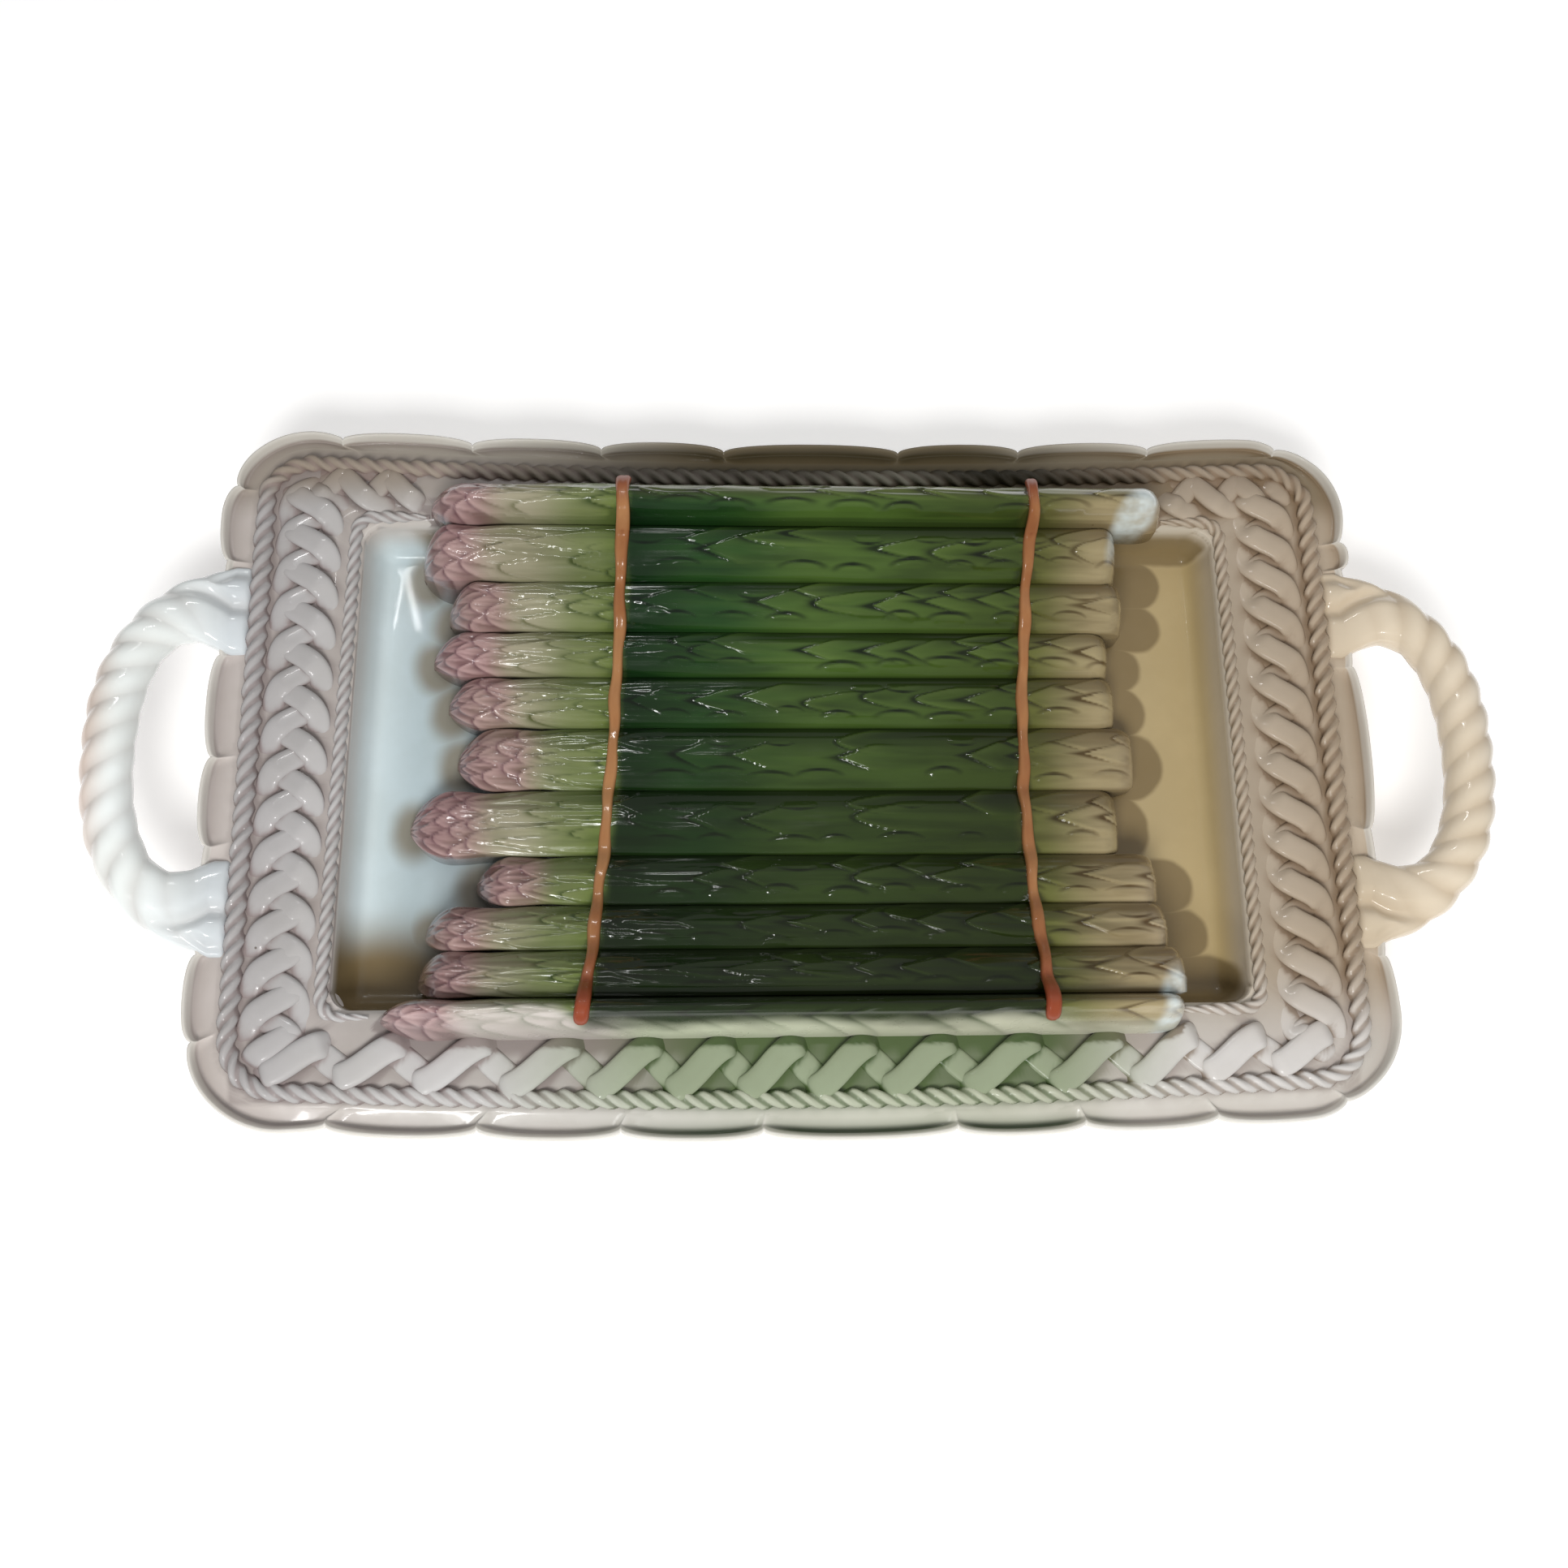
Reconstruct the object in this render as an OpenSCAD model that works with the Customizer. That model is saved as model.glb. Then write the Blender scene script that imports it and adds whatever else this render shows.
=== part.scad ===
// Asparagus platter: a rectangular dish of glazed earthenware. Its middle is a cradle of
// asparagus spears held by two ties, between two draining wells. A plaited and roped
// border with a lobed lip runs round it, and a twisted rope handle stands at each end.
// Origin under the middle of the handles' span, +X towards the cut ends, +Z up.

/* [Body] */
// Length between the notches of the two short sides
body_l = 344; // [320:1:370]
// Depth between the notches of the two long sides at their ends
body_w = 208.5; // [198:0.5:220]
// Radius of the body's corners
corner_r = 27; // [23:0.5:31]
// How far the long sides bow towards the near side
body_bow = 5; // [0:0.5:7]
// Thickness of the ware
wall = 5; // [4:0.25:6]
// Height of the flat border under the ropes and the plait
border_z = 27.5; // [25:0.5:31]

/* [Lobed rim] */
// How far each lobe swells past the notches
lobe_bulge = 3; // [1.5:0.25:4]
// Height of the lip over the border
lip_h = 1.3; // [0.5:0.1:2.2]
// Width of the rounded lip
lip_w = 1.6; // [1:0.1:2.4]
// Depth of the hollow inside each lobe
scoop = 2; // [0.5:0.25:3]
// Notches to rope on the far side
far_lobe_d = 3.5; // [3:0.25:6]
// Notches to rope on the near side
near_lobe_d = 5.5; // [3:0.25:7]
// Notches to rope at the tips' end
left_lobe_d = 7.5; // [5:0.25:9]
// Notches to rope at the cut ends' side
right_lobe_d = 6.5; // [5:0.25:9]

/* [Wells] */
// Height of the wells' floor
floor_z = 12; // [10:0.5:14]
// Width of the curved side of a well
cove_w = 10; // [8:0.5:13]
// Notches to the well's edge at the two short sides
end_border_w = 40.3; // [38:0.5:43]
// Notches to the well's edge at the two long sides
side_border_w = 30; // [28:0.5:33]

/* [Cradle] */
// From the notches of a long side to the foot of the bundle's outer flank
cradle_room = 20.25; // [17:0.25:24]
// Middle of the bundle behind the middle of the body
cradle_shift = 0.85; // [0:0.05:2]
// Crest height of the lowest spear
trough_z = 23.5; // [22:0.5:27]
// Rise of the outer spears over the lowest one
ridge_rise = 25; // [18:0.5:30]
// Depth of the grooves between the spears
groove_d = 4.5; // [3.5:0.25:6]
// Thickness of the slip that sticks each relief on
slip = 0.1; // [0.05:0.05:0.2]

/* [Spears] */
// From a well's end to the middling tips and cut ends
tip_room = 21.7; // [17:0.1:25]
// Length of a bud
bud_l = 17; // [12:0.5:18]
// Length of one bract's pointed tip
bract_l = 9; // [6:0.5:11]
// Distance from bract to bract along a spear
bract_pitch = 25; // [20:0.5:30]
// Height of a bract's step
bract_h = 0.8; // [0.3:0.1:1]

/* [Ties] */
// Width of a tie
tie_w = 4.8; // [3:0.2:7]
// Thickness of a tie
tie_t = 3; // [2:0.2:4]

/* [Ropes] */
// Width of the border rope
rope_w = 6.75; // [4.5:0.25:7.5]
// Height of the border rope
rope_h = 4; // [2.5:0.25:5]
// Length of one twist of the border rope
rope_lay = 10; // [8:0.5:14]
// Corner radius of the border rope
rope_r = 14; // [10:0.5:18]
// Width of the rope round a well
well_rope_w = 4.4; // [3:0.2:5]
// Height of the rope round a well
well_rope_h = 3; // [2:0.2:4]
// Length of one twist of the rope round a well
well_rope_lay = 7; // [6:0.5:10]
// From the end of a well's rope to the end of the spear beside it
rope_end_room = 3; // [1:0.25:6]

/* [Plait] */
// Width of one plaited strap
strap_w = 7.5; // [5:0.25:8]
// Height of a strap where it crosses
strap_h = 3; // [2:0.25:4]
// Distance from strap to strap on the short sides
short_pitch = 11; // [9:0.5:14]
// Distance from strap to strap on the long sides
long_pitch = 19; // [15:0.5:24]
// How far a strap leans along the border
strap_lean = 3.5; // [2:0.25:5]

/* [Handles] */
// How far the handles reach past the notches of the short sides
handle_out = 36.1; // [31:0.1:46]
// Thickness of the twisted bow
handle_t = 14.8; // [10:0.2:16]
// Distance between the middles of a handle's two roots
handle_w = 90.5; // [80:0.5:94]
// Middle of the handles behind the middle of the body
handle_shift = 0.4; // [0:0.1:3]
// Width of a root where it meets the rim
root_w = 28; // [20:0.5:31]
// Rise of the bow over its roots
handle_rise = 5; // [0:0.5:9]
// Length of one whole turn of the twist
handle_lay = 34; // [24:1:48]

/* [Foot] */
// From the notches of a short side to the foot ring
foot_end_room = 56; // [52:0.5:67]
// From the notches of a long side to the foot ring
foot_side_room = 53.25; // [48:0.25:59]
// Width of the foot ring's band
foot_w = 6; // [4:0.5:8]

/* [Hidden] */

// Middle of the body beside the origin, because the two handles reach out unequally
body_x = -1.14;
body_y = 3.45;
rim = [body_x - body_l / 2, body_x + body_l / 2, body_y + body_w / 2, body_y - body_w / 2];
rope_out = [rim[0] + left_lobe_d, rim[1] - right_lobe_d, rim[2] - far_lobe_d, rim[3] + near_lobe_d];
well = [rim[0] + end_border_w, rim[1] - end_border_w, rim[2] - side_border_w, rim[3] + side_border_w];
well_rope_r = cove_w * 0.8;
spear_l = well[1] - well[0] - 2 * tip_room;
cradle_w = body_w - 2 * cradle_room;
handle_span = body_l + 2 * handle_out;
foot_l = body_l - 2 * foot_end_room;
foot_d = body_w - 2 * foot_side_room;
// The notches between the lobes, as shares of each side from corner to corner, clockwise
far_notch_shares = [0.08, 0.2, 0.32, 0.435, 0.6, 0.715, 0.84, 0.965];
right_notch_shares = [0.145, 0.19, 0.355, 0.615, 0.81];
near_notch_shares = [0.03, 0.145, 0.26, 0.37, 0.535, 0.655, 0.775, 0.9];
left_notch_shares = [0.08, 0.205, 0.365, 0.5, 0.66, 0.815, 0.94];
// Where a handle's root covers a lobe, the rim runs straight: the notches that start it
root_notches = [1 + right_notch_shares[1], 1 + right_notch_shares[3], 3 + left_notch_shares[1],
    3 + left_notch_shares[4]];
lobe_step_shares = [0, 0.14, 0.5, 0.86];
// A well's side, from its edge across and down to the floor
cove_shares = [[0, 0], [0.18, 0.5], [0.52, 0.88], [1, 1]];

// The bundle: flank feet and grooves as shares of its width, from the near foot
groove_shares = [1, 0.906, 0.815, 0.73, 0.651, 0.559, 0.443, 0.32, 0.227, 0.145, 0.061, 0];
tip_shares = [1.02, 1.055, 0.98, 1.02, 0.975, 0.945, 1.065, 0.88, 1.01, 1.02, 1.09];
cut_shares = [1.01, 0.9, 0.92, 0.875, 0.89, 0.935, 0.875, 0.965, 0.975, 1, 0.965];
bract_start_shares = [0.1, 0.62, 0.3, 0.85, 0.45, 0.05, 0.7, 0.25, 0.55, 0.9, 0.4];
// A spear's upper outline: places across it, and how much relief a bract has there
across_shares = [0, 0.08, 0.28, 0.5, 0.72, 0.92, 1];
relief_shares = [0, 0.5, 1, 1, 1, 0.5, 0];
bud_shares = [[0, 0.3, 0.3], [0.08, 0.55, 0.55], [0.25, 0.82, 0.8], [0.5, 1, 0.95], [0.85, 1, 1]];
cut_end_shares = [[1, 1, 1], [0.3, 0.92, 0.86], [0, 0.62, 0.5]];
cut_round = 4;
groove_side = 0.6;
cradle_y = body_y + cradle_shift;
groove_y = [for (s = groove_shares) cradle_y + (s - 0.5) * cradle_w];
bed_x = [-0.355 * spear_l, 0.4 * spear_l];
ridge_inset = 8;
ridge_y = [groove_y[0] - ridge_inset, groove_y[11] + ridge_inset * 0.6];
// The ties' places along the spears, from the near end of the bundle to the far end
left_tie_shares = [[0, -0.285], [0.5, -0.258], [1, -0.24]];
right_tie_shares = [[0, 0.303], [0.5, 0.307], [1, 0.32]];

function lerp(a, b, u) = a + (b - a) * u;
function rev(v) = [for (i = [len(v) - 1:-1:0]) v[i]];
function falling(v) = len(v) < 2 ? v : let (p = v[floor(len(v) / 2)])
    concat(falling([for (a = v) if (a > p) a]), [for (a = v) if (a == p) a],
        falling([for (a = v) if (a < p) a]));

// Point and outward normal of a rounded rectangle at side-and-share t, clockwise from far left
function side_len(k, box, r) =
    (k % 2 == 0 ? box[1] - box[0] : box[2] - box[3]) - 2 * r + r * PI / 2;
function loop_at(t, box, r) = let (
    k = floor(t) % 4,
    q = r * PI / 4,
    run = side_len(k, box, r) - 2 * q,
    s = (t - floor(t)) * (run + 2 * q) - q,
    turn = (s < 0 ? s : s > run ? s - run : 0) / r * 180 / PI,
    away = [[0, 1], [1, 0], [0, -1], [-1, 0]][k],
    go = [[1, 0], [0, -1], [-1, 0], [0, 1]][k],
    start = [[box[0] + r, box[2] - r], [box[1] - r, box[2] - r], [box[1] - r, box[3] + r],
        [box[0] + r, box[3] + r]][k],
    n = away * cos(turn) + go * sin(turn)
) [start + go * min(max(s, 0), run) + n * r, n];
function bowed(p) = [p.x, p.y - body_bow * max(0, 1 - pow((p.x - body_x) / (body_l / 2), 2))];

// Faces of a closed band between two rings of n points, and of a grid of columns and rows
function band(a, b, n) = [for (i = [0:n - 1]) let (j = (i + 1) % n)
    each [[a + i, a + j, b + j], [a + i, b + j, b + i]]];
function strip(a, b, n) = [for (i = [0:n - 2])
    each [[a + i, a + i + 1, b + i + 1], [a + i, b + i + 1, b + i]]];
function grid(at, cols, rows) = [for (c = [0:cols - 2]) for (r = [0:rows - 2])
    let (a = at + c * rows + r, b = a + rows)
    each [[a, b, b + 1], [a, b + 1, a + 1]]];
function grid_edge(at, cols, rows) = concat(
    [for (c = [0:cols - 1]) at + c * rows], [for (r = [1:rows - 1]) at + (cols - 1) * rows + r],
    [for (c = [cols - 2:-1:0]) at + c * rows + rows - 1], [for (r = [rows - 2:-1:1]) at + r]);
function grid_edge_t(xs, ys) = let (m = len(xs) - 1, n = len(ys) - 1) concat(
    [for (x = xs) (x - xs[0]) / (xs[m] - xs[0])],
    [for (r = [1:n]) 1 + (ys[0] - ys[r]) / (ys[0] - ys[n])],
    [for (c = [m - 1:-1:0]) 2 + (xs[m] - xs[c]) / (xs[m] - xs[0])],
    [for (r = [n - 1:-1:1]) 3 + (ys[r] - ys[n]) / (ys[0] - ys[n])]);
// Joins an outer ring to the edge of a grid: each outer step takes the edge point it lies by
function owner(t, edge_t) = let (w = floor(t / 4), u = t - 4 * w)
    w * len(edge_t) + len([for (e = edge_t) if (e <= u) 1]) - 1;
function zip(at, ts, edge, edge_t) = let (n = len(ts), m = len(edge)) [for (i = [0:n - 1]) let (
    j = (i + 1) % n,
    t_next = ts[j] + (j == 0 ? 4 : 0),
    o = owner((ts[i] + t_next) / 2, edge_t),
    before = i == 0 ? owner((ts[n - 1] + ts[0] + 4) / 2, edge_t) - m
        : owner((ts[i - 1] + ts[i]) / 2, edge_t)
) each concat([[at + i, at + j, edge[o % m]]],
    [for (e = [before:1:o - 1]) [at + i, edge[(e + 1 + m) % m], edge[(e + m) % m]]])];
function flip(faces) = [for (f = faces) rev(f)];

// Heights of the dish's upper side, under the reliefs: the cradle's bed and the wells
function crest(y) = trough_z + ridge_rise * pow(2 * (y - cradle_y) / (cradle_w * 0.94), 2);
function groove_z(k) = k == 0 || k == 11 ? border_z + groove_side : crest(groove_y[k]) - groove_d;
ridge_z = [crest(ridge_y[0]), crest(ridge_y[1])] - [1, 1] * (groove_d + wall * 0.6);
bed_line = concat([[groove_y[11], border_z], [ridge_y[1], ridge_z[1]]],
    [for (k = [10:-1:1]) [groove_y[k], groove_z(k) - groove_side]],
    [[ridge_y[0], ridge_z[0]], [groove_y[0], border_z]]);
function bed_z(y) = lookup(y, bed_line);
function cove(r) = floor_z + (border_z - floor_z)
    * lookup(r, [for (c = rev(cove_shares)) [1 - c[0], 1 - c[1]]]);
function past(a, lo, hi) = max(lo + cove_w - a, a - hi + cove_w, 0) / cove_w;
function well_z(x, y, box = well) =
    cove(min(1, norm([past(x, box[0], box[1]), past(y, box[3], box[2])])));

// The lobed rim, as points with their side-and-share, normal and swell
notches = concat(far_notch_shares, [for (s = right_notch_shares) 1 + s],
    [for (s = near_notch_shares) 2 + s], [for (s = left_notch_shares) 3 + s]);
rim_steps = [for (i = [0:len(notches) - 1]) for (u = lobe_step_shares)
    [lerp(notches[i], i + 1 < len(notches) ? notches[i + 1] : notches[0] + 4, u),
        len(search(notches[i], root_notches)) > 0 ? 0 : sqrt(1 - pow(2 * u - 1, 2))]];
rim_t = [for (s = rim_steps) s[0]];
n_rim = len(rim_steps);
function rim_ring(inset, z, z_swell) = [for (s = rim_steps) let (p = loop_at(s[0], rim, corner_r))
    concat(bowed(p[0] + p[1] * (lobe_bulge * s[1] - inset)), [z + z_swell * s[1]])];
function rope_edge() = [for (s = rim_steps)
    concat(bowed(loop_at(s[0], rope_out, rope_r + rope_w / 2)[0]), [border_z])];
function scoop_ring() = let (a = rim_ring(0, 0, 0), b = rope_edge()) [for (i = [0:n_rim - 1])
    [(a[i].x + b[i].x) / 2, (a[i].y + b[i].y) / 2, border_z - scoop * rim_steps[i][1]]];

// Upper grid: a column is [x, on the bed]
cove_d = [for (c = cove_shares) c[0] * cove_w];
top_cols = concat([for (d = cove_d) [well[0] + d, false]],
    [[bed_x[0], false], [bed_x[0], true], [bed_x[1], true], [bed_x[1], false]],
    [for (d = rev(cove_d)) [well[1] - d, false]]);
top_rows = falling(concat([for (p = bed_line) p[0]], [for (d = cove_d) each [well[2] - d, well[3] + d]]));
top_grid = [for (c = top_cols) for (y = top_rows) [c[0], y, c[1] ? bed_z(y) : well_z(c[0], y)]];

// Lower grid: the ware's underside, with the foot ring standing on it
under_shift = wall * 0.7;
flank_w = wall * 0.8;
under_well = [well[0] - under_shift, well[1] + under_shift, well[2] + under_shift, well[3] - under_shift];
under_line = concat([[groove_y[11] + flank_w, border_z - wall]],
    [for (i = [1:len(bed_line) - 2]) bed_line[i] - [0, wall]], [[groove_y[0] - flank_w, border_z - wall]]);
under_bed_x = [bed_x[0] + wall, bed_x[1] - wall];
under_step = wall * 0.2;
// Splits falling places by the foot's band: 0 outside, 1 in the band, 2 inside
function split(v, mid, size) = let (
    a = mid + size / 2,
    b = a - foot_w,
    d = mid - size / 2,
    c = d + foot_w
) concat(
    [for (p = v) if (p[0] > a) [p[0], p[1], 0]], [[a, false, 0], [a, false, 1]],
    [for (p = v) if (p[0] < a && p[0] > b) [p[0], p[1], 1]], [[b, false, 1], [b, false, 2]],
    [for (p = v) if (p[0] < b && p[0] > c) [p[0], p[1], 2]], [[c, false, 2], [c, false, 1]],
    [for (p = v) if (p[0] < c && p[0] > d) [p[0], p[1], 1]], [[d, false, 1], [d, false, 0]],
    [for (p = v) if (p[0] < d) [p[0], p[1], 0]]);
under_cols = rev(split(concat([for (d = cove_d) [under_well[1] - d, false]],
    [[under_bed_x[1], false], [under_bed_x[1] - under_step, true], [under_bed_x[0] + under_step, true],
        [under_bed_x[0], false]],
    [for (d = rev(cove_d)) [under_well[0] + d, false]]), body_x, foot_l));
under_rows = split([for (y = falling(concat([for (p = under_line) p[0]],
    [for (d = cove_d) each [under_well[2] - d, under_well[3] + d]]))) [y, false]], cradle_y, foot_d);
function under_z(c, y) = (c[1] ? lookup(y, under_line) : well_z(c[0], y, under_well) - wall);
function under_pt(c, r) = let (
    foot = c[2] > 0 && r[2] > 0 && c[2] + r[2] < 4,
    corner = foot && abs(c[0] - body_x) > foot_l / 2 - slip && abs(r[0] - cradle_y) > foot_d / 2 - slip,
    cut = corner ? foot_w * 0.45 : 0
) [c[0] - sign(c[0] - body_x) * cut, r[0] - sign(r[0] - cradle_y) * cut, foot ? 0 : under_z(c, r[0])];
under_grid = [for (c = under_cols) for (r = under_rows) under_pt(c, r)];

module dish() {
    rings = concat(rim_ring(0, border_z - wall * 0.7, 0), rim_ring(0, border_z, 0),
        rim_ring(lip_w / 2, border_z + lip_h * 0.5, lip_h * 0.5), scoop_ring(), rope_edge(),
        rim_ring(lip_w * 2, border_z - wall, 0));
    top_at = len(rings);
    under_at = top_at + len(top_grid);
    top_xs = [for (c = top_cols) c[0]];
    under_xs = [for (c = under_cols) c[0]];
    under_ys = [for (r = under_rows) r[0]];
    faces = concat(
        [for (k = [0:3]) each band(k * n_rim, (k + 1) * n_rim, n_rim)],
        zip(4 * n_rim, rim_t, grid_edge(top_at, len(top_xs), len(top_rows)), grid_edge_t(top_xs, top_rows)),
        grid(top_at, len(top_xs), len(top_rows)),
        flip(band(0, 5 * n_rim, n_rim)),
        flip(zip(5 * n_rim, rim_t, grid_edge(under_at, len(under_xs), len(under_ys)),
            grid_edge_t(under_xs, under_ys))),
        flip(grid(under_at, len(under_xs), len(under_ys))));
    color([0.78, 0.76, 0.74]) polyhedron(concat(rings, top_grid, under_grid), faces, 8);
}

// One spear between two grooves: rings across it from the bud to the cut end
function spear_top(k, v, relief) = let (
    y0 = groove_y[k + 1] + slip / 2,
    y1 = groove_y[k] - slip / 2,
    z0 = groove_z(k + 1),
    z1 = groove_z(k),
    h = crest((y0 + y1) / 2) - (z0 + z1) / 2,
    a = across_shares[v]
) [lerp(y0, y1, a),
    lerp(z0, z1, a) + h * sqrt(1 - pow(2 * a - 1, 2)) + bract_h * relief * relief_shares[v]];
// A ring is [x, bract length, relief, width share, height share, on the bed]
function spear_ring(k, q) = let (
    mid = (groove_y[k] + groove_y[k + 1]) / 2,
    base = well_z(0, mid),
    top = [for (v = [0:len(across_shares) - 1]) let (p = spear_top(k, v, q[2]))
        [q[0] + q[1] * abs(2 * across_shares[v] - 1), mid + (p[0] - mid) * q[3],
            base + (p[1] - base) * q[4]]],
    lo = top[0].y,
    hi = top[len(top) - 1].y,
    between = [for (b = top_rows) if (b > groove_y[k + 1] + slip && b < groove_y[k] - slip)
        min(max(b, lo), hi)],
    under = [for (y = concat([hi], between, [lo]))
        [q[0] + q[1], y, (q[5] ? bed_z(y) : well_z(0, y)) + slip]]
) concat(top, under);
function spear_rings(k) = let (
    tip = tip_x(k),
    cut = cut_x(k),
    first = bed_x[0] + bract_h + bract_start_shares[k] * bract_pitch,
    last = bed_x[1] - bract_l - bract_h
) concat(
    [for (b = bud_shares) [tip + b[0] * bud_l, 0, b[0] > 0.5 ? 1 : 0, b[1], b[2], false]],
    [[tip + bud_l, 0, 0, 1, 1, false], [bed_x[0] - slip * 2, 0, 0, 1, 1, false],
        [bed_x[0] - slip, 0, 0, 1, 1, true]],
    [for (x = [first + bract_h:bract_pitch:last]) each
        [[x - bract_h, bract_l, 0, 1, 1, true], [x, bract_l, 1, 1, 1, true]]],
    [[bed_x[1] + slip, 0, 0, 1, 1, true], [bed_x[1] + slip * 2, 0, 0, 1, 1, false]],
    [for (c = cut_end_shares) [cut - c[0] * cut_round, 0, 0, c[1], c[2], false]]);
module spear(k) {
    rings = [for (q = spear_rings(k)) spear_ring(k, q)];
    n = len(rings[0]);
    m = len(rings);
    ends = [[for (i = [0:n - 1]) i], [for (i = [n:-1:1]) (m - 1) * n + i % n]];
    color(k % 2 == 0 ? [0.33, 0.5, 0.27] : [0.4, 0.56, 0.3])
        polyhedron([for (r = rings) each r],
            concat([for (e = ends) for (i = [1:n - 2]) [e[0], e[i + 1], e[i]]],
                [for (i = [0:m - 2]) each band(i * n, (i + 1) * n, n)]), 8);
}

// A tie: a flattened cord over the crests, bridging the grooves
module tie(places) {
    stops = concat([[0, 5]], [for (k = [0:10]) for (v = [4, 3, 2]) [k, v]], [[10, 1]]);
    rings = [for (s = stops) let (
        p = spear_top(s[0], s[1], 1),
        x = spear_l * lookup((p[0] - groove_y[11]) / cradle_w, places),
        z = p[1] + slip
    ) [[x - tie_w / 2, p[0], z], [x - tie_w * 0.4, p[0], z + tie_t * 0.7], [x, p[0], z + tie_t],
        [x + tie_w * 0.4, p[0], z + tie_t * 0.7], [x + tie_w / 2, p[0], z]]];
    n = 5;
    m = len(rings);
    color([0.72, 0.4, 0.28]) polyhedron([for (r = rings) each r], concat(
        [for (i = [1:n - 2]) each [[0, i + 1, i], [(m - 1) * n, (m - 1) * n + i, (m - 1) * n + i + 1]]],
        [for (i = [0:m - 2]) each band(i * n, (i + 1) * n, n)]), 8);
}

// A rope laid on the border along a loop: ridges and valleys slant across it
function rope_t(t0, t1, box, r, lay) = [for (k = [floor(t0):ceil(t1) - 1]) let (
    a = max(t0, k),
    b = min(t1, k + 1),
    n = max(1, round((b - a) * side_len(k, box, r) / lay))
) for (j = [0:n - 1]) each [[lerp(a, b, j / n), 1], [lerp(a, b, (j + 0.5) / n), 0.62]]];
module rope(box, r, t0, t1, w, h, lay, bow) {
    stops = rope_t(t0, t1, box, r, lay);
    closed = t1 - t0 == 4;
    slant = lay * 0.45;
    across = [[w / 2, -slant, 0], [w / 4, -slant / 2, 1], [-w / 4, slant / 2, 1], [-w / 2, slant, 0]];
    pts = [for (s = stops) for (c = across) let (
        p = loop_at(s[0] + 4 + c[1] / side_len(floor(s[0]), box, r), box, r),
        q = p[0] + p[1] * c[0]
    ) concat(bow ? bowed(q) : q, [border_z + slip + h * s[1] * c[2]])];
    n = 4;
    m = len(stops);
    color([0.74, 0.71, 0.69]) polyhedron(pts, concat(
        [for (i = [0:m - (closed ? 1 : 2)]) let (a = i * n, b = ((i + 1) % m) * n)
            each concat(flip(strip(a, b, n)), [[a, b + 3, b], [a, a + 3, b + 3]])],
        closed ? [] : [[0, 1, 2], [0, 2, 3], [(m - 1) * n, (m - 1) * n + 2, (m - 1) * n + 1],
            [(m - 1) * n, (m - 1) * n + 3, (m - 1) * n + 2]]), 8);
}

module well_rope(turns) {
    rope(well_rope_box, well_rope_r, turns[0], turns[1], well_rope_w, well_rope_h, well_rope_lay, false);
}

// The plait: rows of crossing straps, each a low arched bar lying on the border
plait_in = [well[0] - well_rope_w - slip * 4, well[1] + well_rope_w + slip * 4,
    well[2] + well_rope_w + slip * 4, well[3] - well_rope_w - slip * 4];
plait_out = [rope_out[0] + rope_w, rope_out[1] - rope_w, rope_out[2] - rope_w, rope_out[3] + rope_w];
// Points and faces of one strap from a to b
function strap_pts(a, b, w) = let (
    d = (b - a) / norm(b - a),
    n = [-d.y, d.x]
) [for (s = [[0, 0.35], [0.5, 1], [1, 0.35]])
    let (c = lerp(a, b, s[0])) each [concat(c + n * w / 2, [border_z + slip]),
        concat(c + n * w * 0.3, [border_z + slip + strap_h * s[1]]),
        concat(c - n * w * 0.3, [border_z + slip + strap_h * s[1]]),
        concat(c - n * w / 2, [border_z + slip])]];
function strap_faces(at) = concat(flip(band(at, at + 4, 4)), flip(band(at + 4, at + 8, 4)),
    [[at, at + 1, at + 2], [at, at + 2, at + 3], [at + 8, at + 10, at + 9], [at + 8, at + 11, at + 10]]);
module straps(pairs, w) {
    color([0.7, 0.67, 0.66]) polyhedron([for (p = pairs) each strap_pts(p[0], p[1], w)],
        [for (i = [0:len(pairs) - 1]) each strap_faces(i * 12)], 8);
}
// Two rows of straps in a herringbone between x0 and x1, from y0 up to y1
function herringbone(x0, x1, y0, y1, pitch) = let (
    n = floor((y1 - y0) / pitch),
    step = (y1 - y0) / n,
    mid = (x0 + x1) / 2,
    gap = strap_w * 0.12,
    inset = strap_w * 0.36
) [for (i = [0:n - 1]) let (y = y0 + (i + 0.5) * step) each [
    [[x0 + inset, y - strap_lean], [mid - gap, y + strap_lean / 2]],
    [[mid + gap, y + strap_lean / 2], [x1 - inset, y - strap_lean]]]];
module short_plait(x0, x1) {
    straps(herringbone(x0, x1, plait_in[3] + slip, plait_in[2] - slip, short_pitch), strap_w);
}
// The straps of the long sides follow their bow; xs holds the runs from x to x
module long_plait(xs, y0, y1) {
    turned = [for (x = xs) each herringbone(y0, y1, x[0], x[1], long_pitch)];
    straps([for (p = turned) [bowed([p[1].y, p[1].x]), bowed([p[0].y, p[0].x])]], strap_w * 0.8);
}

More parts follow.
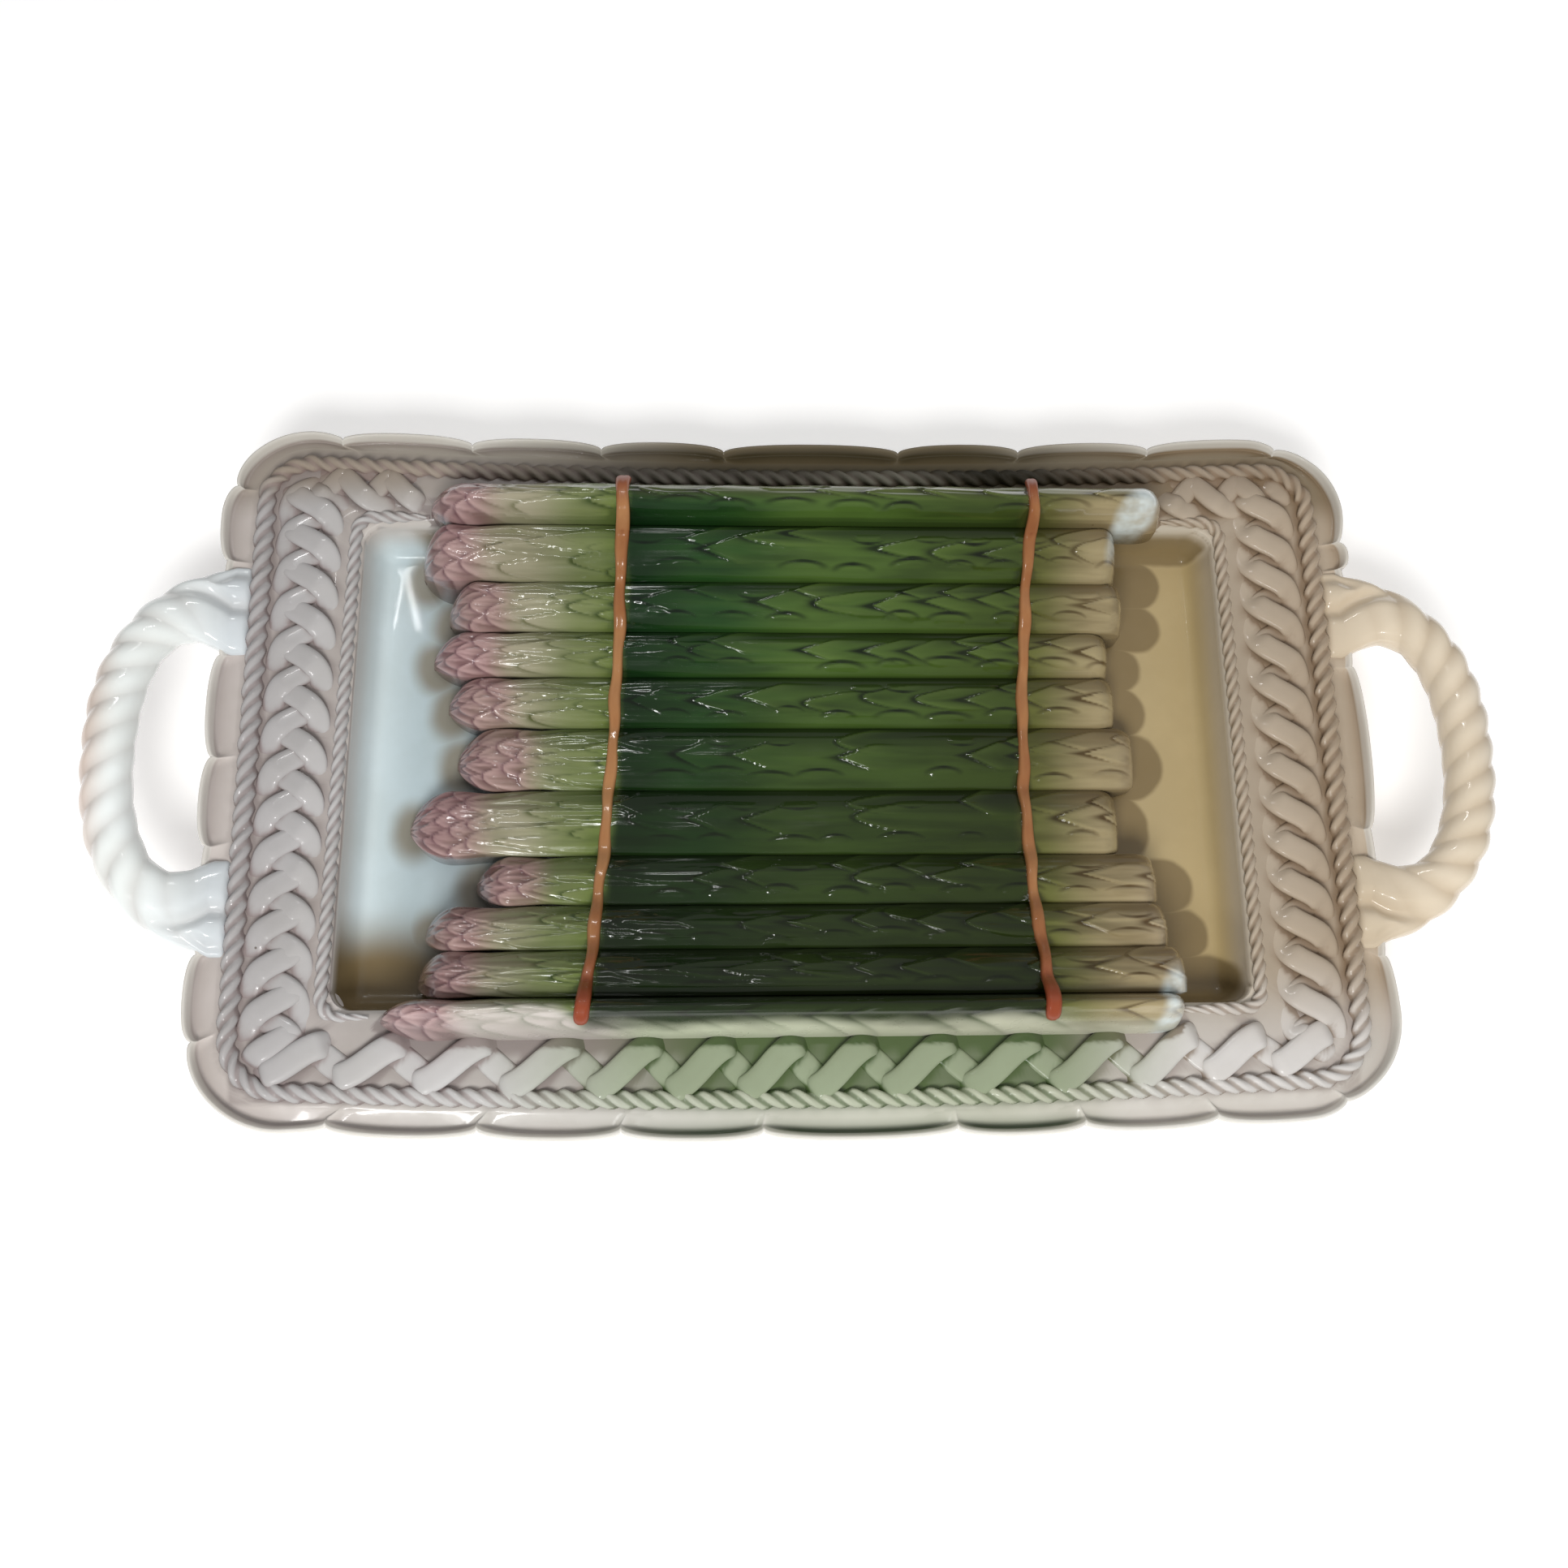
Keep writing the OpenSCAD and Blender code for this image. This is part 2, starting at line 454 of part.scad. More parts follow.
// A handle: a twisted three-strand bow whose ends widen and fork onto the rim
function handle_pt(a, reach, mid) = let (e = 2 / 2.4)
    [reach * pow(abs(sin(a)), e), mid + handle_w / 2 * sign(cos(a)) * pow(abs(cos(a)), e)];
module handle(x0, side, mid) {
    steps = 36;
    sides = 12;
    reach = side * (handle_span / 2) - x0 - side * handle_t / 2;
    path = [for (i = [0:steps]) handle_pt(180 * i / steps, reach, mid)];
    run = [for (i = 0, s = 0; i <= steps;
        s = s + (i < steps ? norm(path[i + 1] - path[i]) : 0), i = i + 1) s];
    whole = run[steps];
    pts = [for (i = [0:steps]) let (
        ahead = path[min(i + 1, steps)] - path[max(i - 1, 0)],
        d = i == 0 || i == steps ? [side * (i == 0 ? 1 : -1), 0] : ahead / norm(ahead),
        n = [-d.y, d.x],
        left = min(run[i], whole - run[i]),
        root = pow(max(0, 1 - left / root_w), 2),
        strand = min(1, left / handle_t) * 0.09,
        z = border_z - wall * 0.2 + handle_rise * sin(180 * run[i] / whole) + handle_t * 0.12 * (1 - root)
    ) for (j = [0:sides - 1]) let (
        a = 360 * j / sides,
        turn = a * 3 - 3 * 360 * run[i] / handle_lay,
        r = handle_t / 2 * (1 + strand * cos(turn)) * (1 - 0.22 * root * pow(abs(sin(a)), 2)),
        u = r * cos(a) * lerp(1, root_w / handle_t, root),
        v = r * sin(a) * lerp(1, 0.75, root)
    ) [x0 + path[i].x + n.x * u, path[i].y + n.y * u, z + v]];
    last = steps * sides;
    caps = [for (i = [1:sides - 2]) each [[0, i, i + 1], [last, last + i + 1, last + i]]];
    body = [for (i = [0:steps - 1]) each flip(band(i * sides, (i + 1) * sides, sides))];
    color([0.86, 0.86, 0.8]) polyhedron(pts, concat(caps, body), 8);
}

well_rope_box = [well[0] - well_rope_w / 2 - slip, well[1] + well_rope_w / 2 + slip,
    well[2] + well_rope_w / 2 + slip, well[3] - well_rope_w / 2 - slip];
// Side-and-share of a place x on the far and the near run of a well's rope
corner_in = well_rope_r * (1 - PI / 4);
function far_turn(x) = (x - well_rope_box[0] - corner_in) / side_len(0, well_rope_box, well_rope_r);
function near_turn(x) = 2 + (well_rope_box[1] - corner_in - x) / side_len(2, well_rope_box, well_rope_r);
function tip_x(k) = -tip_shares[k] * spear_l / 2;
function cut_x(k) = cut_shares[k] * spear_l / 2;
left_rope_turns = [near_turn(tip_x(10) - rope_end_room), 4 + far_turn(tip_x(0) - rope_end_room)];
right_rope_turns = [far_turn(cut_x(0) + rope_end_room), near_turn(cut_x(10) + rope_end_room)];
rope_box = [rope_out[0] + rope_w / 2, rope_out[1] - rope_w / 2,
    rope_out[2] - rope_w / 2, rope_out[3] + rope_w / 2];
plait_x = [plait_out[0] + rope_r / 2, plait_out[1] - rope_r / 2];
far_reach = cove_w * 1.8;
bow_room = body_bow * 0.6;

dish();
spear(0);  // spear_01
spear(1);  // spear_02
spear(2);  // spear_03
spear(3);  // spear_04
spear(4);  // spear_05
spear(5);  // spear_06
spear(6);  // spear_07
spear(7);  // spear_08
spear(8);  // spear_09
spear(9);  // spear_10
spear(10);  // spear_11
tie(left_tie_shares);  // left_tie
tie(right_tie_shares);  // right_tie
rope(rope_box, rope_r, 0, 4, rope_w, rope_h, rope_lay, true);  // border_rope
well_rope(left_rope_turns);  // left_well_rope
well_rope(right_rope_turns);  // right_well_rope
short_plait(plait_out[0], plait_in[0]);  // left_plait
short_plait(plait_in[1], plait_out[1]);  // right_plait
long_plait([plait_x], plait_out[3], groove_y[11] + bow_room);  // near_plait
long_plait([[plait_x[0], well[0] + far_reach],  // far_plait
    [well[1] - far_reach, plait_x[1]]], plait_in[2] + bow_room, plait_out[2]);
handle(rim[0] - slip, -1, body_y + handle_shift);  // left_handle
handle(rim[1] + slip, 1, body_y + handle_shift);  // right_handle
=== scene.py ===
import bpy
import math
import numpy as np
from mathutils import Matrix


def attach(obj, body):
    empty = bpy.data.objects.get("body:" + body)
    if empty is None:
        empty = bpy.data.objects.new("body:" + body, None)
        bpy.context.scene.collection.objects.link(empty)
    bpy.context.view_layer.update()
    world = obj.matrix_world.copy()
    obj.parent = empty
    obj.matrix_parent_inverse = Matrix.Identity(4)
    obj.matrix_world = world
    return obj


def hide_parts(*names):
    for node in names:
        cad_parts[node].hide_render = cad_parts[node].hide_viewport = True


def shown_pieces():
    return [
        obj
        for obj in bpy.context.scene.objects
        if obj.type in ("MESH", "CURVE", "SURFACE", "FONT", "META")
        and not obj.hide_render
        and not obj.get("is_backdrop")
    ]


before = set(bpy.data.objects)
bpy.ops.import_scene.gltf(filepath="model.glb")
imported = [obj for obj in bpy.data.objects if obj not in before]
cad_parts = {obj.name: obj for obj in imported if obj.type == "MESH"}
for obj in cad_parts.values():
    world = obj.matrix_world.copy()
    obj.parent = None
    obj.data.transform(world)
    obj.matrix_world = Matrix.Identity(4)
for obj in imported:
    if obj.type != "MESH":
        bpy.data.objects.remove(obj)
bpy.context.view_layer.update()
MM = 0.001
rng = np.random.default_rng(11)

# The camera stands above the near side, tipped back a little, as the photograph was taken:
# its place and turn come from the four corners of the dish.


def placed(name, data):
    """An object of the scene that holds a camera, a lamp, a curve or a mesh."""
    thing = bpy.data.objects.new(name, data)
    bpy.context.scene.collection.objects.link(thing)
    return thing


cam_data = bpy.data.cameras.new("camera")
cam_data.lens = cam_data.sensor_width = 36
cam_data.sensor_fit = "HORIZONTAL"
cam_data.clip_end = 20
camera = placed("camera", cam_data)
camera.location = (-0.03029, -0.12425, 0.47699)
camera.rotation_euler = [math.radians(angle) for angle in (14.8946, -2.9234, -0.8933)]
bpy.context.scene.camera = camera
bpy.context.scene.view_settings.view_transform = "Standard"

# Soft studio light: a broad key above the near side and a broad fill overhead, which the glaze
# doesn't mirror, and three narrow panels whose reflections make the small dashes on the glaze.
world = bpy.context.scene.world = bpy.data.worlds.new("studio")
world.use_nodes = True
sky = world.node_tree.nodes["Background"].inputs
sky["Color"].default_value = (1, 1, 1, 1)
sky["Strength"].default_value = 0.2


def panel(name, place, aim, size, power, colour):
    """A rectangular lamp at place that faces aim."""
    data = bpy.data.lights.new(name, "AREA")
    data.shape = "RECTANGLE"
    data.size, data.size_y = size
    data.energy = power
    data.color = colour
    lamp = placed(name, data)
    lamp.location = place
    away = np.array(place) - np.array(aim)
    away = away / np.linalg.norm(away)
    lamp.rotation_euler = (math.acos(away[2]), 0, math.atan2(away[0], -away[1]))
    return lamp


MIDDLE, WHITE = (0, 0, 0), (1, 1, 1)
key = panel("key", (-0.12, -0.68, 0.82), MIDDLE, (0.5, 0.35), 9.3, (1, 0.99, 0.97))
fill = panel("fill", (0.3, 0.3, 1.0), MIDDLE, (0.9, 0.9), 3.4, (1, 0.98, 0.96))
key.visible_glossy = fill.visible_glossy = False
window = panel("window", (-0.15, 0.55, 0.75), (-0.06, 0.03, 0.03), (0.2, 0.02), 0.4, WHITE)
# the slit is turned until its reflection lies along the left well
slit = panel("slit", (-0.268, 0.368, 0.75), (-0.268, 0.368, 0), (0.003, 0.09), 0.05, WHITE)
slit.rotation_euler[2] += math.radians(15.2)
sheen = panel("sheen", (-0.3, -0.72, 0.82), MIDDLE, (0.2, 0.06), 1.1, WHITE)
window.visible_diffuse = slit.visible_diffuse = sheen.visible_diffuse = False

# The floor is one plain pale sheet, a hair below the foot ring.
FLOOR_REACH, FLOOR_DROP = 6.0, 0.0002
floor_mesh = bpy.data.meshes.new("floor")
floor_mesh.from_pydata([(x * FLOOR_REACH, y * FLOOR_REACH, -FLOOR_DROP)
                        for x, y in ((-1, -1), (1, -1), (1, 1), (-1, 1))], [], [(0, 1, 2, 3)])
floor_mat = bpy.data.materials.new("floor")
floor_mat.use_nodes = True
for name, value in (("Base Color", (0.93, 0.93, 0.93, 1)), ("Roughness", 0.9),
                    ("Emission Color", (1, 1, 1, 1)), ("Emission Strength", 0.35)):
    floor_mat.node_tree.nodes["Principled BSDF"].inputs[name].default_value = value
floor_mesh.materials.append(floor_mat)
floor = placed("floor", floor_mesh)
floor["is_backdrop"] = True

# The dish is one shell of glazed earthenware from a mould. It is made of rings: up the outer
# wall, over the lobed lip, across the border, down the coves into the wells and under the
# bundle, then back out along the underside over the foot ring.

# Lengths are millimetres until a mesh is made, and metres in a glaze. The outline that all the
# border's pieces share is a rounded rectangle, walked clockwise from the far left corner as
# side-and-share, whose long sides bow towards the near side. A box is left, right, far, near.
BODY = (-1.14, 3.45)
BODY_L, BODY_W, BOW = 344.0, 208.5, 5.0
RIM = (BODY[0] - BODY_L / 2, BODY[0] + BODY_L / 2, BODY[1] + BODY_W / 2, BODY[1] - BODY_W / 2)
ROPE_OUT = (RIM[0] + 7.5, RIM[1] - 6.5, RIM[2] - 3.5, RIM[3] + 5.5)
WELL = (RIM[0] + 40.3, RIM[1] - 40.3, RIM[2] - 30, RIM[3] + 30)
RIM_R, ROPE_R, WELL_R = 27, 17, 6
CRADLE_Y, CRADLE_W = 4.3, 168.0
BORDER_Z, FLOOR_Z = 27.5, 12.0
SIDE_AWAY = np.array([(0, 1), (1, 0), (0, -1), (-1, 0)], float)
SIDE_GO = np.array([(1, 0), (0, -1), (-1, 0), (0, 1)], float)


def inset(box, d):
    return (box[0] + d, box[1] - d, box[2] - d, box[3] + d)


def loop_at(t, box, r):
    """Points and outward normals at side-and-share t; the straight part of each side comes
    between half corners."""
    t = np.asarray(t, float) % 4
    k = np.floor(t).astype(int) % 4
    q = r * math.pi / 4
    span = np.where(k % 2 == 0, box[1] - box[0], box[2] - box[3]) - 2 * r
    s = (t - k) * (span + 2 * q) - q
    turn = np.where(s < 0, s, np.where(s > span, s - span, 0)) / r
    start = np.array([(box[0] + r, box[2] - r), (box[1] - r, box[2] - r),
                      (box[1] - r, box[3] + r), (box[0] + r, box[3] + r)])[k]
    normal = SIDE_AWAY[k] * np.cos(turn)[:, None] + SIDE_GO[k] * np.sin(turn)[:, None]
    return start + SIDE_GO[k] * np.clip(s, 0, span)[:, None] + normal * r, normal


def bowed(p):
    p = np.array(p, float)
    p[:, 1] -= BOW * np.maximum(0, 1 - ((p[:, 0] - BODY[0]) / (BODY_L / 2)) ** 2)
    return p


def smooth(a, b, x):
    u = np.clip((np.asarray(x, float) - a) / (b - a), 0, 1)
    return u * u * (3 - 2 * u)


def raised(p, z):
    """Flat points lifted to z, which is one height or one for each point."""
    return np.column_stack([p, np.broadcast_to(z, len(p))])


def mesh_piece(name, points, faces):
    """A smoothly shaded mesh object from millimetres."""
    mesh = bpy.data.meshes.new(name)
    mesh.from_pydata((np.asarray(points) * MM).tolist(), [], faces)
    mesh.validate()
    mesh.update()
    mesh.shade_smooth()
    return placed(name, mesh)


def spread(piece, name, values):
    """Keeps one number per point on the piece, for its material to read."""
    layer = piece.data.attributes.new(name, "FLOAT", "POINT")
    layer.data.foreach_set("value", np.asarray(values, np.float32))


def tube_faces(rows, cols, turned=False):
    """Faces of a tube of rows rings with cols points each, closed by a cap at either end.
    Turned is for rings whose points go round the other way."""
    ring, at = np.meshgrid(np.arange(rows - 1) * cols, np.arange(cols), indexing="ij")
    after = (at + 1) % cols
    quads = np.stack([ring + cols + at, ring + cols + after, ring + after, ring + at], -1)
    faces = quads.reshape(-1, 4).tolist()
    faces += [list(range(cols)), list(range((rows - 1) * cols, rows * cols))[::-1]]
    return [face[::-1] for face in faces] if turned else faces


# where one lobe of the lip meets the next, and the lobes that are almost straight
NOTCHES = np.array([
    0.08, 0.2, 0.32, 0.435, 0.6, 0.715, 0.84, 0.965, 1.145, 1.19, 1.355, 1.615, 1.81,
    2.03, 2.145, 2.26, 2.37, 2.535, 2.655, 2.775, 2.9, 3.08, 3.205, 3.365, 3.5, 3.66, 3.815, 3.94])
STRAIGHT = (1.19, 1.615, 3.205, 3.66)
BULGE, LOBE_POINTS = 2.8, 40
# the spears' grooves, from the far side, and both ends of each spear
SPEAR_L = 220
GROOVES = CRADLE_Y + CRADLE_W * (np.array(
    [1, 0.906, 0.815, 0.73, 0.651, 0.559, 0.443, 0.32, 0.227, 0.145, 0.061, 0]) - 0.5)
TIPS = -SPEAR_L / 2 * np.array(
    [1.02, 1.055, 0.98, 1.02, 0.975, 0.945, 1.065, 0.88, 1.01, 1.02, 1.09])
CUTS = SPEAR_L / 2 * np.array(
    [1.01, 0.9, 0.92, 0.875, 0.89, 0.935, 0.875, 0.965, 0.975, 1, 0.965])
TROUGH_Z, RIDGE_RISE, GROOVE_D = 23.5, 25.0, 4.5
BED_X = (-78.1, 88.0)


def crest(y):
    return TROUGH_Z + RIDGE_RISE * (2 * (y - CRADLE_Y) / (CRADLE_W * 0.94)) ** 2


def well_z(x, y, box=WELL, cove=7.0):
    px = np.maximum(np.maximum(box[0] + cove - x, x - box[1] + cove), 0) / cove
    py = np.maximum(np.maximum(box[3] + cove - y, y - box[2] + cove), 0) / cove
    r = np.clip(np.hypot(px, py), 0, 1)
    return FLOOR_Z + (BORDER_Z - FLOOR_Z) * (1 - np.sqrt(np.clip(1 - r ** 2.2, 0, 1)))


def bed_z(y):
    inner = np.interp(y, [GROOVES[11], GROOVES[11] + 5, GROOVES[10], CRADLE_Y, GROOVES[1],
                          GROOVES[0] - 8, GROOVES[0]],
                      [BORDER_Z, 36, 36, TROUGH_Z - GROOVE_D, 34, 38, BORDER_Z])
    arch = crest(y) - GROOVE_D - 1.5
    return np.where((y > GROOVES[10]) & (y < GROOVES[1]), arch, inner)


def skewed(p):
    """The left well's outer side leans out a little towards the near corner."""
    p = np.array(p, float)
    nearness = np.clip((WELL[2] - p[:, 1]) / (WELL[2] - WELL[3]), 0, 1)
    p[:, 0] -= 2.6 * nearness * (1 - smooth(-130, -105, p[:, 0]))
    return p


def on_bed(x, rise=1.5):
    return smooth(BED_X[0], BED_X[0] + rise, x) * (1 - smooth(BED_X[1] - rise, BED_X[1], x))


samples = []
for i, a in enumerate(NOTCHES):
    b = NOTCHES[i + 1] if i + 1 < len(NOTCHES) else NOTCHES[0] + 4
    n = max(10, int(LOBE_POINTS * (b - a) / 0.12))
    u = 0.5 - 0.5 * np.cos(np.pi * np.arange(n) / n)
    u = 0.6 * u + 0.4 * np.arange(n) / n
    swell = np.sqrt(np.clip(1 - np.abs(2 * u - 1) ** 2.2, 0, 1)) * (0.25 if a in STRAIGHT else 1)
    samples += [(a + (b - a) * w, s) for w, s in zip(u, swell)]
rim_t, rim_swell = np.array(samples).T
n_rim = len(rim_t)


def rim_ring(d, z, z_swell):
    p, n = loop_at(rim_t, RIM, RIM_R)
    return raised(bowed(p + n * (BULGE * rim_swell - d)[:, None]), z + z_swell * rim_swell)


# over the lip: how far in from the outline, how high, and how much higher in a lobe's middle
rings = [rim_ring(d, z, dz) for d, z, dz in (
    (3.4, 22.6, 0), (1.3, 22.9, 0), (0.4, 23.9, 0), (0.05, 25.3, 0), (0, 26.9, 0),
    (0.12, 28.0, 0.3), (0.45, 28.5, 0.6), (0.9, 28.65, 0.8), (1.3, 28.45, 0.75),
    (1.65, 28.0, 0.4), (1.95, 27.6, -0.5), (2.3, 27.45, -1.5))]
lip_edge = rings[-1][:, :2]
rope_edge = bowed(loop_at(rim_t, ROPE_OUT, ROPE_R)[0])
for w in np.linspace(0.08, 1, 10):
    dip = 1.9 * (1 - w) ** 0.9 * smooth(0.0, 0.6, rim_swell)
    rings.append(raised(lip_edge * (1 - w) + rope_edge * w, BORDER_Z - dip))
well_edge = skewed(loop_at(rim_t, WELL, WELL_R)[0])
for w in np.linspace(0.12, 1, 8):
    rise = min(1, w / 0.2, (1 - w) / 0.12)
    rings.append(raised(rope_edge * (1 - w) + well_edge * w, BORDER_Z + 1.1 * rise))
# down the coves and over the wells' floors, which the bed rises from
for d in (0.2, 0.5, 0.9, 1.4, 2, 2.7, 3.5, 4.4, 5.4, 6.4, 7.5, 10, 14):
    p = loop_at(rim_t, inset(WELL, d), max(2, WELL_R - d * 0.4))[0]
    rings.append(raised(skewed(p), well_z(*p.T)))
for d in np.linspace(18, 73.5, 16):
    p = loop_at(rim_t, inset(WELL, d), 1.5)[0]
    rings.append(raised(p, well_z(*p.T)))
for ring in rings[-29:]:
    lift = on_bed(ring[:, 0])
    ring[:, 2] = ring[:, 2] * (1 - lift) + np.maximum(bed_z(ring[:, 1]) - 0.5, 3) * lift
# which rings are the lip, painted lighter as a highlight; the border between rope and wells,
# painted in the shade of what lies low; and each lobe's hollow, darkened by pooled glaze and
# painted shade
lip_highlight_mark, bed_shade_mark, crescent_shade = np.zeros((3, len(rings), n_rim))
lip_highlight_mark[3:11] = bed_shade_mark[22:29] = 1
hollow_share = np.array([0.35, 0.9, 1, 0.75, 0.45, 0.25, 0.12, 0.05])
crescent_shade[10:18] = hollow_share[:, None] * smooth(0.15, 0.8, rim_swell)
under = []
FLANK = inset(WELL, -3.5)
FOOT_BOX = (BODY[0] - 116, BODY[0] + 116, CRADLE_Y + 51, CRADLE_Y - 51)


def under_z(p):
    z = well_z(*p.T, FLANK, 12.0) - 5
    lift = on_bed(p[:, 0], 6) * smooth(0, 8, FLANK[2] - p[:, 1]) * smooth(0, 8, p[:, 1] - FLANK[3])
    return z * (1 - lift) + (bed_z(p[:, 1]) - 5) * lift


for w in np.linspace(0.2, 1, 4):
    p = rings[0][:, :2] * (1 - w) + bowed(loop_at(rim_t, FLANK, 14)[0]) * w
    under.append(raised(p, BORDER_Z - 5))
under.append(raised(loop_at(rim_t, inset(FLANK, 0.5), 14)[0], BORDER_Z - 5.5))
for d in (2, 4, 7, 10, 14):
    p = loop_at(rim_t, inset(FLANK, d), 12)[0]
    under.append(raised(p, under_z(p)))
# over the foot ring, whose heights are given, and on to the middle
for d, z in ((-0.8, None), (0, 3.5), (0.4, 0.8), (1.4, 0), (4.6, 0), (5.6, 0.8), (6, 3.5),
             (6.8, None), (12, None), (20, None), (32, None), (50.6, None)):
    p = loop_at(rim_t, inset(FOOT_BOX, d), max(0.3, 9 - d * 0.8))[0]
    under.append(raised(p, under_z(p) if z is None else z))
all_rings = under[::-1] + rings
dish = mesh_piece("dish_body", np.concatenate(all_rings), tube_faces(len(all_rings), n_rim))
for mark, field in (("lip", lip_highlight_mark), ("crescent_shade", crescent_shade), ("bed", bed_shade_mark),
                    ("inside", np.ones_like(lip_highlight_mark))):
    spread(dish, mark, np.pad(field, ((len(under), 0), (0, 0))).ravel())


def paint(r, g, b):
    """A glaze colour from screen values of 0 to 255."""
    c = [v / 255 for v in (r, g, b)]
    return tuple(v / 12.92 if v <= 0.04045 else ((v + 0.055) / 1.055) ** 2.4 for v in c) + (1.0,)


class Socket:
    """One socket of a tree of nodes, with arithmetic that adds the maths nodes it needs."""

    def __init__(self, tree, output):
        self.tree, self.output = tree, output

    def feed(self, slot, value):
        """Gives a node's input another socket or a plain value."""
        if isinstance(value, Socket):
            self.tree.links.new(value.output, slot)
        else:
            slot.default_value = value

    def node(self, kind, inputs, output=0, **settings):
        """Adds a node: inputs go by name or number, and settings are its own fields."""
        node = self.tree.nodes.new(kind)
        for key, value in settings.items():
            setattr(node, key, value)
        for key, value in inputs.items():
            self.feed(node.inputs[key], value)
        return Socket(self.tree, node.outputs[output])

    def join(self, operation, *others):
        inputs = dict(enumerate((self,) + others))
        return self.node("ShaderNodeMath", inputs, operation=operation)

    def __add__(self, o): return self.join("ADD", o)
    def __sub__(self, o): return self.join("SUBTRACT", o)
    def __rsub__(self, o): return (self * -1.0) + o
    def __mul__(self, o): return self.join("MULTIPLY", o)
    def __truediv__(self, o): return self.join("DIVIDE", o)
    def __pow__(self, o): return self.join("POWER", o)
    def most(self, o): return self.join("MAXIMUM", o)

    def share(self, low, high, **settings):
        """0 at low, 1 at high and straight between."""
        inputs = {"Value": self, "From Min": low, "From Max": high}
        return self.node("ShaderNodeMapRange", inputs, clamp=True, **settings)

    def ramp(self, low, high):
        """0 below low, 1 above high and smooth between."""
        return self.share(low, high, interpolation_type="SMOOTHSTEP")

    def fall(self, low, high):
        """1 below low, 0 above high and smooth between."""
        return 1 - self.ramp(low, high)

    def away(self, o):
        """How far off a place is that lies this far along and o across."""
        return (self * self + o * o) ** 0.5

    def mix(self, a, b):
        """Colour a where this is 0 and colour b where it is 1; three numbers are screen values."""
        a, b = (paint(*c) if isinstance(c, tuple) and len(c) == 3 else c for c in (a, b))
        return self.node("ShaderNodeMix", {0: self, 6: a, 7: b}, 2, data_type="RGBA")

    def gradient(self, stops):
        """Screen colours at places between 0 and 1."""
        node = self.tree.nodes.new("ShaderNodeValToRGB")
        self.tree.links.new(self.output, node.inputs[0])
        node.color_ramp.interpolation = "EASE"
        elements = node.color_ramp.elements
        while len(elements) < len(stops):
            elements.new(0.5)
        for element, (place, *_) in zip(elements, stops):
            element.position = place
        for element, (_, *colour) in zip(elements, stops):
            element.color = paint(*colour)
        return Socket(self.tree, node.outputs[0])


class Glaze:
    """A glazed earthenware material."""

    def __init__(self, name):
        self.material = bpy.data.materials.new(name)
        self.material.use_nodes = True
        self.tree = self.material.node_tree
        self.shader = self.tree.nodes["Principled BSDF"]
        coord = self.tree.nodes.new("ShaderNodeTexCoord")
        self.place = Socket(self.tree, coord.outputs["Object"])
        split = self.place.node("ShaderNodeSeparateXYZ", {0: self.place}).output.node
        self.x, self.y, self.z = (Socket(self.tree, o) for o in split.outputs)

    def number(self, name):
        """A number that spread() left on the piece's points."""
        return self.place.node("ShaderNodeAttribute", {}, 2, attribute_name=name)

    def noise(self, scale, detail, rough, seed, stretch=(1, 1, 1)):
        moved = self.place.node("ShaderNodeMapping", {
            "Vector": self.place, "Scale": stretch, "Location": (seed, seed * 0.7, 0)})
        return self.place.node("ShaderNodeTexNoise", {
            "Vector": moved, "Scale": scale, "Detail": detail, "Roughness": rough})

    def finish(self, colour, rough=0.13, bump=0.25, coat=0.6):
        mottle = self.noise(28, 5, 0.6, 3.1).ramp(0.38, 0.66)
        veil = mottle.mix((0.93, 0.925, 0.91, 1), (1, 1, 1, 1))
        tint = mottle.node("ShaderNodeMix", {0: 1.0, 6: colour, 7: veil}, 2, data_type="RGBA",
                           blend_type="MULTIPLY")
        specks = self.place.node("ShaderNodeTexVoronoi", {"Vector": self.place, "Scale": 95.0})
        dots = specks.fall(0.02, 0.05) * self.noise(60, 1, 0.5, 7.7).ramp(0.62, 0.66)
        worn = self.noise(170, 2, 0.5, 5.0).ramp(0.35, 0.7)
        height = self.noise(210, 3, 0.5, 1.3) * 0.35 + self.noise(48, 2, 0.5, 2.2)
        dimple = self.place.node("ShaderNodeBump", {
            "Strength": bump, "Distance": 0.0006, "Height": height})
        for name, value in (("Base Color", (dots * 0.75).mix(tint, (70, 55, 35))),
                            ("Roughness", worn * 0.07 + rough), ("Coat Weight", coat),
                            ("Coat Roughness", 0.04), ("IOR", 1.5), ("Normal", dimple)):
            self.place.feed(self.shader.inputs[name], value)
        return self.material


BACK = Glaze("dish_glaze")
across = (BACK.x + (BACK.noise(9, 2, 0.5, 0.6) - 0.5) * 0.05).ramp(-0.12, 0.13)
inside = BACK.number("inside")
# the rim and the border, then the wells: bluish white at the left and tan at the right; this shift
# from left to right is partly the glaze's own colour and partly a painted tint of cool light from
# the left and warm light from the right
rim_shade = BACK.x.share(-0.18, 0.18).gradient([
    (0.0, 208, 200, 196), (0.3, 205, 203, 198), (0.6, 206, 206, 194), (1.0, 196, 180, 160)])
near_right = BACK.y.fall(-0.09, -0.06) * BACK.x.ramp(0.05, 0.1)
rim_shade = (near_right * 0.8).mix(rim_shade, (216, 214, 210))
# the left well is paler by its left wall: painted light where that wall lies in shade
left_well = BACK.x.ramp(-0.137, -0.114).mix((216, 230, 234), (182, 199, 205))
base = (BACK.z.fall(0.0125, 0.024) * inside).mix(
    rim_shade, across.mix(left_well, (180, 160, 116)))
